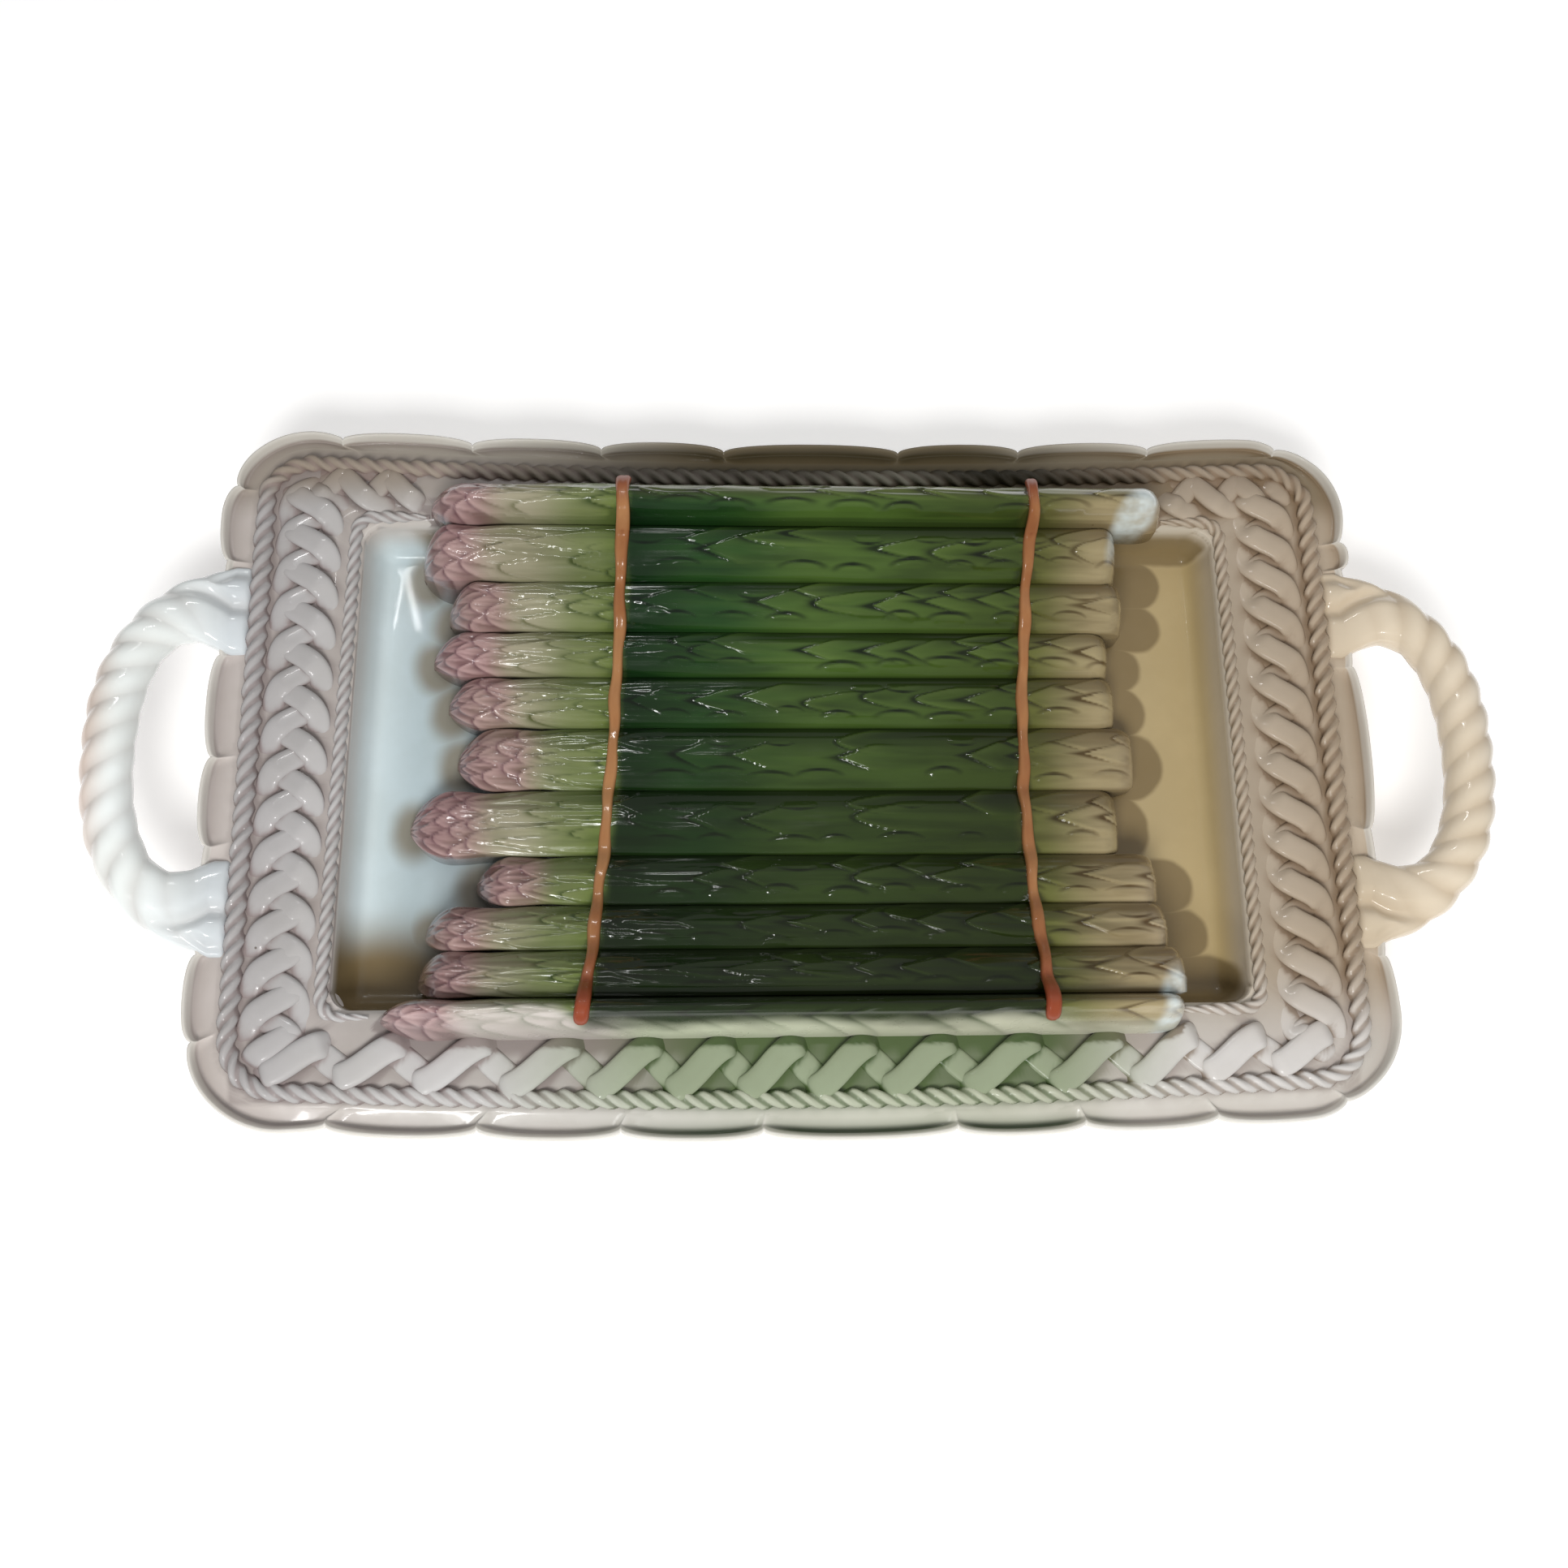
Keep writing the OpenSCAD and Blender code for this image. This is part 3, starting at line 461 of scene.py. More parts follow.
# the far side is nearly black in its middle and brown elsewhere, partly the glaze's own colour and
# partly painted shadow that the far ridge casts on it
upper = BACK.z.ramp(0.02, 0.026)
far_glaze_and_shadow = (BACK.y.ramp(0.078, 0.088) * BACK.x.ramp(-0.105, -0.02) * BACK.x.fall(0.05, 0.13)
            * upper)
base = (far_glaze_and_shadow * 0.96).mix(base, (44, 40, 14))
far_brown_and_shade = BACK.y.ramp(0.078, 0.090) * upper * (BACK.x.ramp(0.06, 0.12) * 0.3 + 0.5)
base = far_brown_and_shade.mix(base, (124, 108, 80))
# brown glaze pooled round the tips and in the left well's near corner, partly painted shade in that
# corner, and under each cut end a painted shadow that the raised end casts on the right well's
# floor
dx, dy = BACK.x + 0.124, BACK.y + 0.074
stain_and_shadow = ((dx * dx + dy * dy * 1.4) ** 0.5).fall(0.022, 0.045)
for k in range(11):
    dy = BACK.y - (GROOVES[k] + GROOVES[k + 1]) / 2 * MM
    dx = (BACK.x - (TIPS[k] + 1) * MM) / 0.8
    edge = dx.away(dy) + (BACK.noise(60, 2, 0.5, 9.0) - 0.5) * 0.004
    stain_and_shadow = stain_and_shadow.most(edge.fall(0.0045, 0.0125) * 0.75)
    # the cut end's painted shadow reaches further where the spear lies higher
    half = (GROOVES[k] - GROOVES[k + 1]) / 2 * MM * 1.12
    reach = (11 + 0.5 * (crest((GROOVES[k] + GROOVES[k + 1]) / 2) - TROUGH_Z)) * MM
    dx = (BACK.x - (CUTS[k] * MM + reach - half)).most(0.0)
    edge = dx.away(dy) + (BACK.noise(90, 2, 0.5, 4.0) - 0.5) * 0.002
    stain_and_shadow = stain_and_shadow.most(edge.fall(half - 0.001, half + 0.0008) * BACK.x.ramp(0.06, 0.062) * 0.9)
stain_and_shadow = stain_and_shadow * BACK.z.fall(0.020, 0.0255) * inside
base = stain_and_shadow.mix(base, across.mix((120, 104, 74), (126, 108, 74)))
# the tone of what lies low, for pooled glaze and painted shade: green in the middle of the near
# side, dark on the far side
near = BACK.y.fall(-0.08, -0.06)
near_middle = BACK.x.ramp(-0.075, -0.02) * BACK.x.fall(0.066, 0.098) * near
low_tone = across.mix((136, 126, 124), (126, 104, 80))
low_tone = (near * BACK.x.ramp(0.05, 0.09)).mix(low_tone, (166, 156, 150))
low_tone = near_middle.mix(low_tone, (74, 94, 50))
low_tone = far_glaze_and_shadow.mix(low_tone, (46, 42, 20))
# painted shade on the border between rope and wells, where it shows between the plait strands
base = (BACK.number("bed") * (near_middle * 0.4 + 0.45)).mix(base, low_tone)
# darker where glaze pools and shade lies low, partly painted shade, and less outside the rope
outside = BACK.y.ramp(0.0965, 0.0985).most(BACK.y.fall(-0.0975, -0.0955)).most(
    BACK.x.ramp(0.159, 0.161)).most(BACK.x.fall(-0.1625, -0.1605))
pool = BACK.number("pool").ramp(0.3, 2.2) * (0.8 - outside * 0.5) * BACK.z.ramp(0.0245, 0.027)
base = pool.mix(base, low_tone)
# green glaze pooled in each lobe's hollow, with painted shade there
base = (BACK.number("crescent_shade") * (near_middle * 0.45 + 0.5)).mix(
    base, near_middle.mix(low_tone, (52, 70, 40)))
# a painted highlight along the rolled lip, left off the dark far side
base = (BACK.number("lip") * (0.75 - far_glaze_and_shadow * 0.7)).mix(base, (220, 218, 212))
dish.data.materials.append(BACK.finish(base, rough=0.2, coat=0.35))
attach(dish, "root")
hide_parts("dish")

# Eleven moulded spears lie side by side, alternately longer and shorter. Each is a sheet of
# fine points over its crest, closed below: a bud of small overlapping scales, a stem with
# arrow-shaped bracts that point to the bud, and a blunt cut end.
LEFT_TIE_X = np.array([-0.285, -0.258, -0.24]) * SPEAR_L
RIGHT_TIE_X = np.array([0.303, 0.307, 0.32]) * SPEAR_L


def tie_x(y, places):
    a, b, c = places
    u = (np.asarray(y) - CRADLE_Y) / (CRADLE_W / 2)
    return b + (c - a) / 2 * u + ((a + c) / 2 - b) * u * u


def groove_z(k):
    return BORDER_Z + 0.6 if k in (0, 11) else crest(GROOVES[k]) - GROOVE_D


def leaf(u, v, u0, v0, length, width, power, high, fade, thick):
    """A scale whose tip is at (u0, v0): how high it stands, and how near its edge is."""
    d = np.abs(v - v0) / width
    edge = length * np.minimum(d, 1.4) ** power
    slope = np.sqrt(1 + (length * power * np.maximum(d, 0.08) ** (power - 1) / width) ** 2)
    dist = (u - u0 - edge) / slope
    keep = 1 - smooth(0.95, 1.5, d)
    height = high * smooth(-0.2, 0.55, dist) * np.exp(-np.maximum(dist, 0) / fade) * keep
    # a dark line along the scale's edge that fades towards the bud as a painted soft shadow
    before, after = np.exp((dist + 0.1) / thick), np.exp(-((dist + 0.1) / 0.3) ** 2)
    line = np.where(dist < -0.1, before, after) * keep * (1.1 - 0.7 * np.minimum(d, 1.3))
    return height, line


def lens(u, v, u0, v0, length, width, high):
    """A scale seen edge on: an arched lip, sharp towards the crest."""
    r = np.hypot((u - u0) / length, (v - v0) / width)
    side = smooth(-0.5, 0.4, (v - v0) / width * (1 if v0 < 0 else -1))
    line = np.exp(-((r - 1.02) * width / 0.6) ** 2) * side
    return (high * (1 - smooth(0.6, 1.0, r)) * (0.4 + 0.6 * side),
            line * (1 - 0.6 * np.abs(u - u0) / length))


spears = []
N_ACROSS, STEP, TIP_RUN, CUT_RUN = 46, 0.5, 7, 5
BUD_L = (17, 16, 16, 18, 17, 19, 19, 17, 17, 17, 19)
# the stem's three lanes of bracts: place across, chance of each bract, and shift along
LANES = ((0.62, 0.8, 0), (0.05, 0.8, 6), (-0.66, 0.85, 12))
for k, (tip, cut, bud_l) in enumerate(zip(TIPS, CUTS, BUD_L)):
    y0, y1 = GROOVES[k + 1] + 0.02, GROOVES[k] - 0.02
    z0, z1 = groove_z(k + 1), groove_z(k)
    half, mid = (y1 - y0) / 2, (y0 + y1) / 2
    xs = np.concatenate([tip + TIP_RUN * (np.linspace(0, 1, 26)[:-1] ** 1.6),
                         np.arange(tip + TIP_RUN, cut - CUT_RUN, STEP),
                         cut - CUT_RUN * (1 - np.linspace(0, 1, 16) ** 0.6)])
    a = np.linspace(0, np.pi, N_ACROSS)
    a = 0.5 - 0.5 * np.cos(a) * (1 - 0.16 * np.sin(a) ** 2)
    X, A = np.meshgrid(xs, a, indexing="ij")
    U, V = X - tip, 2 * A - 1
    h = crest(mid) - (z0 + z1) / 2
    wave = 0.3 * np.sin(X / 13 + k * 2.1) + 0.2 * np.sin(X / 5.3 + k)
    round_top = np.clip(1 - np.abs(V) ** 2.2, 0, 1) ** 0.8
    seat = 0 if k in (0, 10) else 1.5
    Z = z0 + (z1 - z0) * A + (h + wave) * round_top + seat * (1 - round_top)
    # the bud's plump scales, in staggered rows
    relief, line, bud_line = np.zeros((3,) + X.shape)
    arc = V * half * 1.12
    row, u0 = 0, 0.6
    while u0 < bud_l + 1:
        size = 5.0 + 3.4 * min(1, u0 / bud_l)
        for lane in np.arange(-2, 3) + (0.5 if row % 2 else 0):
            v0 = lane * size * 0.95 + rng.normal(0, 0.4)
            hgt, ln = leaf(U, arc, u0 + rng.normal(0, 0.8), v0, size * 0.95, size * 0.6,
                           rng.uniform(1.7, 2.6), 1.4, 4.2, 0.7)
            if abs(v0) < half * 1.1:
                relief, bud_line = np.maximum(relief, hgt), np.maximum(bud_line, ln)
        u0 += size * 0.74
        row += 1
    # then long leaves up to the left tie, and bracts from there to the cut end
    u0 = bud_l - 4.0
    tie_u = float(tie_x(mid, LEFT_TIE_X)) - tip
    i = 0
    while u0 < cut - tip - 5:
        if u0 < tie_u - 2:
            v0 = (0.55, -0.5, 0.02, -0.75, 0.8, 0.3, -0.2)[i % 7] * half + rng.normal(0, 0.4)
            hgt, ln = leaf(U, arc, u0, v0, rng.uniform(12, 18), rng.uniform(2.6, 3.8),
                           rng.uniform(1.5, 2.1), rng.uniform(1.0, 1.6), rng.uniform(8, 12), 1.2)
            relief, line = np.maximum(relief, hgt), np.maximum(line, ln * rng.uniform(0.45, 0.85))
            u0 += rng.uniform(3.6, 5.4)
        elif k == 10:
            hgt, ln = leaf(U, arc, u0 + rng.normal(0, 1), (-0.15 + rng.normal(0, 0.14)) * half,
                           rng.uniform(8, 12), 3.4, 1.0, 0.7, 3.0, 0.9)
            relief, line = np.maximum(relief, hgt), np.maximum(line, ln * rng.uniform(0.8, 1))
            u0 += rng.uniform(12, 22)
        else:
            for lane, chance, shift in LANES:
                if rng.uniform() > chance:
                    continue
                at_u = u0 + shift + rng.normal(0, 1.6)
                if at_u > cut - tip - 6:
                    continue
                v0 = lane * half + rng.normal(0, 0.5)
                if lane < 0 or (lane > 0.5 and rng.uniform() < 0.4):
                    hgt, ln = lens(U, arc, at_u + 5, v0, rng.uniform(5, 7.5),
                                   rng.uniform(1.7, 2.5), 0.95)
                else:
                    hgt, ln = leaf(U, arc, at_u, v0, rng.uniform(7.5, 11),
                                   rng.uniform(2.8, 4.2) * (1 if half < 9 else 1.2),
                                   rng.choice([0.95, 1.1, 1.7]), rng.uniform(1.2, 1.6), 7.0, 1.5)
                relief, line = np.maximum(relief, hgt), np.maximum(line, ln * rng.uniform(0.85, 1))
            u0 += rng.uniform(14.5, 19.5)
        i += 1
    Z = Z + relief * (0.3 + 0.7 * round_top)
    # the bud and the cut end narrow and drop towards the floor of their well
    base = well_z(np.zeros(1), np.array([mid]))[0] + 0.1
    nose = np.sin(np.pi / 2 * np.clip(U / (bud_l * 0.7), 0, 1)) ** 0.62
    neck = 1 - 0.07 * np.exp(-((U - bud_l * 1.3) / 6) ** 2)
    tail = np.sqrt(np.clip(1 - ((X - (cut - 7)) / 7.03).clip(0, 1) ** 2, 0, 1))
    wide = nose * neck * (0.7 + 0.3 * tail)
    high = (0.12 + 0.88 * nose) * (0.36 + 0.64 * tail)
    high = np.where(U <= 1e-6, 0.1, high)
    Y = mid + (y0 + (y1 - y0) * A - mid) * np.maximum(wide, 0.12)
    Z = base + (Z - base) * high
    # the two lower edges stand on the bed, and on the wells' floors beyond it
    lift = on_bed(xs, 0.6)
    edges = []
    for c, y in ((0, y0), (-1, y1)):
        foot = base * (1 - lift) + np.maximum(base, bed_z(np.full(len(xs), y)) + 0.1) * lift
        edges.append(np.stack([xs, Y[:, c], np.minimum(foot, Z[:, c])], -1)[:, None])
    grid = np.concatenate([edges[0], np.stack([X, Y, Z], -1), edges[1]], 1)
    spear = mesh_piece(f"spear_{k + 1:02d}_form", grid.reshape(-1, 3), tube_faces(*grid.shape[:2]))
    gx, gy = grid[..., 0].ravel(), grid[..., 1].ravel()
    lx, rx = tie_x(gy, LEFT_TIE_X), tie_x(gy, RIGHT_TIE_X)
    spread(spear, "along", (gx - lx) / (rx - lx))
    bud = 1 - smooth(bud_l * 0.9, bud_l * 1.5, U)
    bud_line = bud_line * (1 - smooth(bud_l * 0.95, bud_l * 1.3, U))
    for name, field in (("bud", bud), ("bud_line", bud_line), ("line", line),
                        ("over", (V + 1) / 2), ("relief", relief)):
        spread(spear, name, np.pad(field, ((0, 0), (1, 1)), mode="edge").ravel())
    spears.append(spear)

STEM = Glaze("spear_glaze")
along = STEM.number("along") + (STEM.noise(30, 3, 0.6, 4.0) - 0.5) * 0.06


def along_gradient(stops):
    """Colours along a spear, where 0 is the left tie and 1 the right tie."""
    return ((along + 0.6) / 2.2).gradient([((u + 0.6) / 2.2, *colour) for u, *colour in stops])


# a lit and a shaded copy of the spears' colours along their length, mixed by the painted shade
# below
light = along_gradient([
    (-0.45, 190, 168, 162), (-0.25, 166, 160, 138), (-0.08, 120, 130, 84), (-0.005, 104, 120, 60),
    (0.03, 20, 50, 20), (0.2, 34, 70, 28), (0.5, 74, 100, 42), (0.97, 66, 84, 32),
    (1.01, 98, 102, 50), (1.2, 166, 152, 116), (1.36, 184, 168, 142)])
dark = along_gradient([
    (-0.45, 118, 92, 88), (-0.25, 96, 98, 62), (-0.08, 56, 72, 30), (0.0, 38, 54, 22),
    (0.03, 4, 20, 6), (0.5, 12, 26, 6), (0.97, 18, 24, 10), (1.01, 46, 44, 18),
    (1.2, 84, 66, 38), (1.36, 112, 88, 60)])
over, relief, lines = STEM.number("over"), STEM.number("relief"), STEM.number("line")
# painted shade: where glaze pools and shade lies, over each spear's far-facing side and along its
# near groove, less on raised relief
shade = (STEM.number("pool").ramp(0.4, 3.0) * 0.6).most(over.ramp(0.42, 0.97) * 0.85).most(
    over.fall(0.0, 0.07) * 0.5)
shade = shade * (1 - relief.ramp(0.5, 1.3) * 0.35)
strokes = lines.ramp(0.0, 0.8) * (STEM.noise(75, 2, 0.5, 3.3).ramp(0.25, 0.6) * 0.3 + 0.7)
streaks = STEM.noise(95, 3, 0.6, 8.0, (0.2, 1.3, 1.3)).ramp(0.4, 0.72)
shade = shade.most(streaks * 0.5)
stem = shade.most(strokes).mix(light, dark)
# between the ties: painted light on the raised bracts, and painted shade that darkens the green
# towards the near side and on the near wall
between_ties = along.ramp(0.0, 0.03) * along.fall(0.98, 1.01)
lit_raised_parts = relief.ramp(0.7, 1.5) * along.ramp(0.05, 0.4) * between_ties * (1 - strokes)
stem = (lit_raised_parts * 0.22).mix(stem, (112, 134, 66))
stem = (STEM.y.fall(-0.04, 0.05) * between_ties * 0.62).mix(stem, (20, 28, 6))
near_wall_shade = STEM.y.fall(-0.072, -0.02) * STEM.z.ramp(0.024, 0.032)
stem = (near_wall_shade * between_ties * 0.55).mix(stem, (22, 28, 12))
# the two outermost flanks: a light olive at the far side, painted light on the far spear's top
# edge, and pale with green lines at the near side, painted light on the flank that faces the light
lit_top_edge = STEM.y.ramp(0.076, 0.084) * along.ramp(0.0, 0.05)
olive = lines.most(shade * 0.6).mix((112, 116, 66), (44, 50, 20))
stem = (lit_top_edge * 0.7).mix(stem, olive)
wander = (STEM.noise(30, 3, 0.6, 2.0, (0.6, 1, 1)) - 0.5) * 0.009
lit_near_flank = (STEM.y + wander - along.fall(-0.06, 0.02) * 0.0042).fall(-0.0799, -0.0757)
pale = along.gradient([(0.0, 206, 198, 194), (0.15, 206, 212, 188), (1.0, 206, 206, 186)])
stem = (lit_near_flank * 0.95).mix(stem, (lines * 0.9).mix(pale, (64, 84, 44)))
# the buds' pink and plum, each scale painted lighter where it is plump and darker at its base and
# in shade, painted light and shade
bud_tint = STEM.number("bud") * (STEM.noise(45, 3, 0.6, 6.0).ramp(0.2, 0.75) * 0.4 + 0.6)
lit_plump = relief.ramp(0.5, 1.35)
scales = (shade * 0.8).most(1 - lit_plump).mix((186, 150, 152), (116, 78, 82))
stem = (bud_tint * 0.85).mix(stem, scales)
stem = (STEM.number("bud_line") * 0.8).mix(stem, (90, 54, 66))
# painted reflections, bluish white, over the right ends: their middle, lean and half width across
# the plate
for x0, y0, lean, half_y in ((0.1015, 0.0735, 0.48, 0.0125), (0.103, -0.0725, 0.1, 0.0115)):
    dy = STEM.y - y0
    dx = (STEM.x - x0 - dy * lean) / 0.0058
    reflection_patch = (dx.away(dy / half_y) + STEM.noise(50, 2, 0.5, 1.7) - 0.5).fall(0.5, 1.2)
    cover = STEM.noise(90, 3, 0.6, 5.5).ramp(0.3, 0.6) * 0.6 + 0.3
    stem = (reflection_patch * cover).mix(stem, (218, 230, 232))
far_edge, near_edge = STEM.y.ramp(0.0815, 0.0845), STEM.y.fall(-0.0765, -0.0725)
stem_mat = STEM.finish(stem, rough=far_edge * 0.8 + near_edge * 0.15 + 0.12, bump=0.12,
                       coat=0.55 - (far_edge * 0.55).most(near_edge * 0.5))
for k, spear in enumerate(spears):
    spear.data.materials.append(stem_mat)
    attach(spear, "root")
    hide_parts(f"spear_{k + 1:02d}")

# Each tie is a flattened band of clay pressed over the crests. It bridges the grooves and
# bulges a little over each spear, so its upper side is the spears' outline smoothed out.


def spear_top_z(y):
    z = np.zeros_like(y)
    for k in range(11):
        a = (y - GROOVES[k + 1]) / (GROOVES[k] - GROOVES[k + 1])
        v = np.clip(2 * a - 1, -1, 1)
        z0, z1 = groove_z(k + 1), groove_z(k)
        h = crest((GROOVES[k] + GROOVES[k + 1]) / 2) - (z0 + z1) / 2
        top = z0 + (z1 - z0) * a + h * (1 - np.abs(v) ** 2.5) ** 0.62
        z = np.where((a >= 0) & (a <= 1), top, z)
    return z


def signed(value, power):
    """A power that keeps the value's sign."""
    return np.sign(value) * np.abs(value) ** power


TIE = Glaze("tie_glaze")
orange = TIE.noise(55, 4, 0.6, 1.0, (1, 0.35, 1)).ramp(0.3, 0.7).mix(
    (144, 88, 50), (172, 124, 80))
ends = TIE.y.fall(-0.076, -0.045).most(TIE.y.ramp(0.072, 0.086))
orange = (ends * 0.8).mix(orange, (136, 50, 28))
# darker red where glaze pools and shade lies low, partly painted shade
orange = (TIE.number("pool").ramp(0.2, 1.8) * 0.7).mix(orange, (112, 40, 18))
tie_mat = TIE.finish(orange, rough=ends * 0.3 + 0.12, bump=0.3, coat=0.6 - ends * 0.5)
TIE_SIDES, TIE_H = 24, 1.9
# how many points the band bridges to either side, and how many its smoothing takes in
BRIDGE, SOFTEN = 7, 9
for name, places, far_swell in (("left_tie", LEFT_TIE_X, 0.7), ("right_tie", RIGHT_TIE_X, 0.1)):
    ys = np.arange(GROOVES[11] + 2.0, GROOVES[0] - 1.2, 0.5)
    z = spear_top_z(ys)
    bridge_z = np.array([z[max(0, i - BRIDGE):i + BRIDGE + 1].max() for i in range(len(z))])
    z = 0.3 * z + 0.7 * bridge_z
    kernel = np.exp(-(np.arange(-SOFTEN, SOFTEN + 1) / 4.0) ** 2)
    z = np.convolve(np.pad(z, SOFTEN, mode="edge"), kernel / kernel.sum(), "valid")
    xc = tie_x(ys, places) + 0.2 * np.sin(ys / 5.1) + 0.15 * np.sin(ys / 2.3 + 1)
    from_near, from_far = ys - ys[0], ys[-1] - ys
    w = 1.75 + 0.2 * np.sin(ys / 3.7 + 2) + 0.4 * np.exp(-from_near / 8) \
        + far_swell * np.exp(-from_far / 14)
    from_end = np.minimum(from_near, from_far)
    end_fade = np.sqrt(np.clip(1 - (1 - from_end / 2.2).clip(0, 1) ** 2, 0, 1))
    w = w * (0.35 + 0.65 * end_fade)
    ang = np.linspace(0, 2 * np.pi, TIE_SIDES, endpoint=False)
    profile_x, profile_z = signed(np.cos(ang), 0.75), signed(np.sin(ang), 0.8)
    crease = -0.35 * np.exp(-(profile_x / 0.3) ** 2) * (profile_z > 0)
    above = (TIE_H * profile_z + crease) * (0.4 + 0.6 * end_fade[:, None])
    P = np.stack([xc[:, None] + w[:, None] * profile_x, np.repeat(ys[:, None], TIE_SIDES, 1),
                  z[:, None] + 0.3 + above], -1)
    tie = mesh_piece(name + "_band", P.reshape(-1, 3), tube_faces(len(ys), TIE_SIDES))
    tie.data.materials.append(tie_mat)
    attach(tie, "root")
    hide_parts(name)

# The ropes are rolled clay, twisted and laid on the border. One node group sweeps a lobed
# section along a path, turning it once in each lay; the plaits below use it without turning.
SWEEP = bpy.data.node_groups.new("sweep", "GeometryNodeTree")
SWEEP_IDS = {}
for name in ("Geometry", "Step", "Turns", "Strands", "Depth", "Width", "Height", "Sides",
             "Material"):
    kind = {"Geometry": "Geometry", "Sides": "Int", "Material": "Material"}.get(name, "Float")
    item = SWEEP.interface.new_socket(name, in_out="INPUT", socket_type="NodeSocket" + kind)
    SWEEP_IDS[name] = item.identifier
SWEEP.interface.new_socket("Geometry", in_out="OUTPUT", socket_type="NodeSocketGeometry")
given = {s.name: Socket(SWEEP, s) for s in SWEEP.nodes.new("NodeGroupInput").outputs}
add = given["Geometry"].node
# the path: evened out, upright and tilted along its length
path = add("GeometryNodeResampleCurve", {"Curve": given["Geometry"], "Length": given["Step"]},
           mode="LENGTH")
path = add("GeometryNodeSetCurveNormal", {"Curve": path}, mode="Z_UP")
walked = add("GeometryNodeSplineParameter", {}, "Length")
path = add("GeometryNodeSetCurveTilt", {"Curve": path, "Tilt": walked * given["Turns"]})
# the section: a circle with a valley between its strands, brought to the width and height
circle = add("GeometryNodeCurvePrimitiveCircle", {"Resolution": given["Sides"], "Radius": 1.0})
share = add("GeometryNodeSplineParameter", {}, "Factor")
valley = 0.5 - (share * given["Strands"] * (2 * math.pi)).join("COSINE") * 0.5
scaled = add("ShaderNodeVectorMath", {0: add("GeometryNodeInputPosition", {}),
                                      "Scale": 1 - given["Depth"] * valley}, operation="SCALE")
halves = add("ShaderNodeCombineXYZ", {
    "X": given["Width"] * 0.5, "Y": given["Height"] * 0.5, "Z": 1.0})
sized = add("ShaderNodeVectorMath", {0: scaled, 1: halves}, operation="MULTIPLY")
section = add("GeometryNodeSetPosition", {"Geometry": circle, "Position": sized})
# the depth between strands is kept for the rope's painted shade
section = add("GeometryNodeStoreNamedAttribute", {
    "Geometry": section, "Name": "valley", "Value": valley}, data_type="FLOAT", domain="POINT")
made = add("GeometryNodeCurveToMesh", {
    "Curve": path, "Profile Curve": section, "Fill Caps": True,
    "Scale": add("GeometryNodeInputRadius", {})})
for kind in ("GeometryNodeSetShadeSmooth", "GeometryNodeRealizeInstances"):
    made = add(kind, {"Geometry": made})
made = add("GeometryNodeSetMaterial", {"Geometry": made, "Material": given["Material"]})
SWEEP.links.new(made.output, SWEEP.nodes.new("NodeGroupOutput").inputs[0])


def swept(name, paths, material, radii=None, cyclic=False, **values):
    """A piece swept along one or more paths of points in millimetres."""
    curve = bpy.data.curves.new(name, "CURVE")
    curve.dimensions = "3D"
    for i, path in enumerate(paths):
        spline = curve.splines.new("POLY")
        spline.points.add(len(path) - 1)
        spline.points.foreach_set(
            "co", np.column_stack([np.asarray(path) * MM, np.ones(len(path))]).ravel())
        if radii is not None:
            spline.points.foreach_set("radius", np.asarray(radii[i], float))
        spline.use_cyclic_u = cyclic
    source = placed(name + "_path", curve)
    modifier = source.modifiers.new("sweep", "NODES")
    modifier.node_group = SWEEP
    for key, value in {**values, "Material": material}.items():
        modifier[SWEEP_IDS[key]] = value
    bpy.context.view_layer.update()
    evaluated = source.evaluated_get(bpy.context.evaluated_depsgraph_get())
    mesh = bpy.data.meshes.new_from_object(evaluated)
    bpy.data.objects.remove(source)
    mesh.name = name
    return placed(name, mesh)


def border_colour(glaze, corded):
    """The border's glaze: lilac grey at the left, whitish in the middle, tan at the right, partly a
    painted tint of cool and warm light; dark and brown along the middle of the far side, partly
    painted shadow; and darker in its hollows and between the rope's strands, a painted shade that
    is green on the near side."""
    tone = glaze.x.share(-0.18, 0.18).gradient([
        (0.0, 170, 167, 168), (0.2, 197, 196, 196), (0.6, 198, 200, 184), (0.85, 184, 170, 152),
        (1.0, 172, 153, 131)])
    drift = (glaze.noise(12, 2, 0.5, 0.4) - 0.5) * 0.03
    x, y = glaze.x + drift, glaze.y + drift
    tone = (y.ramp(0.078, 0.098) * 0.8).mix(tone, (148, 132, 114))
    far_glaze_and_shadow = y.ramp(0.08, 0.097) * x.ramp(-0.11, -0.03) * glaze.x.fall(0.06, 0.13)
    tone = (far_glaze_and_shadow * 0.98).mix(tone, (26, 23, 4))
    near_run = x.ramp(-0.1, -0.04) * x.fall(0.07, 0.12) * glaze.y.fall(-0.08, -0.06)
    whiter = y.fall(-0.085, -0.05) * glaze.x.ramp(0.05, 0.1)
    tone = (whiter * 0.9).mix(tone, (214, 212, 211))
    share, green = (0.6, (172, 182, 156)) if corded else (0.9, (142, 155, 126))
    tone = (near_run * share).mix(tone, green)
    hollow_shade = glaze.x.ramp(-0.05, 0.1).mix((130, 112, 110), (118, 94, 70))
    hollow_shade = near_run.mix(hollow_shade, (62, 84, 40))
    hollow_shade = far_glaze_and_shadow.mix(hollow_shade, (40, 34, 14))
    # painted shade in what lies low and, on the rope, between its strands
    low = glaze.number("pool").ramp(0.0, 1.5)
    if corded:
        low = low.most(glaze.number("valley").ramp(0.5, 1.0) * 0.75)
    return (low * (near_run * 0.2 + 0.72)).mix(tone, hollow_shade)


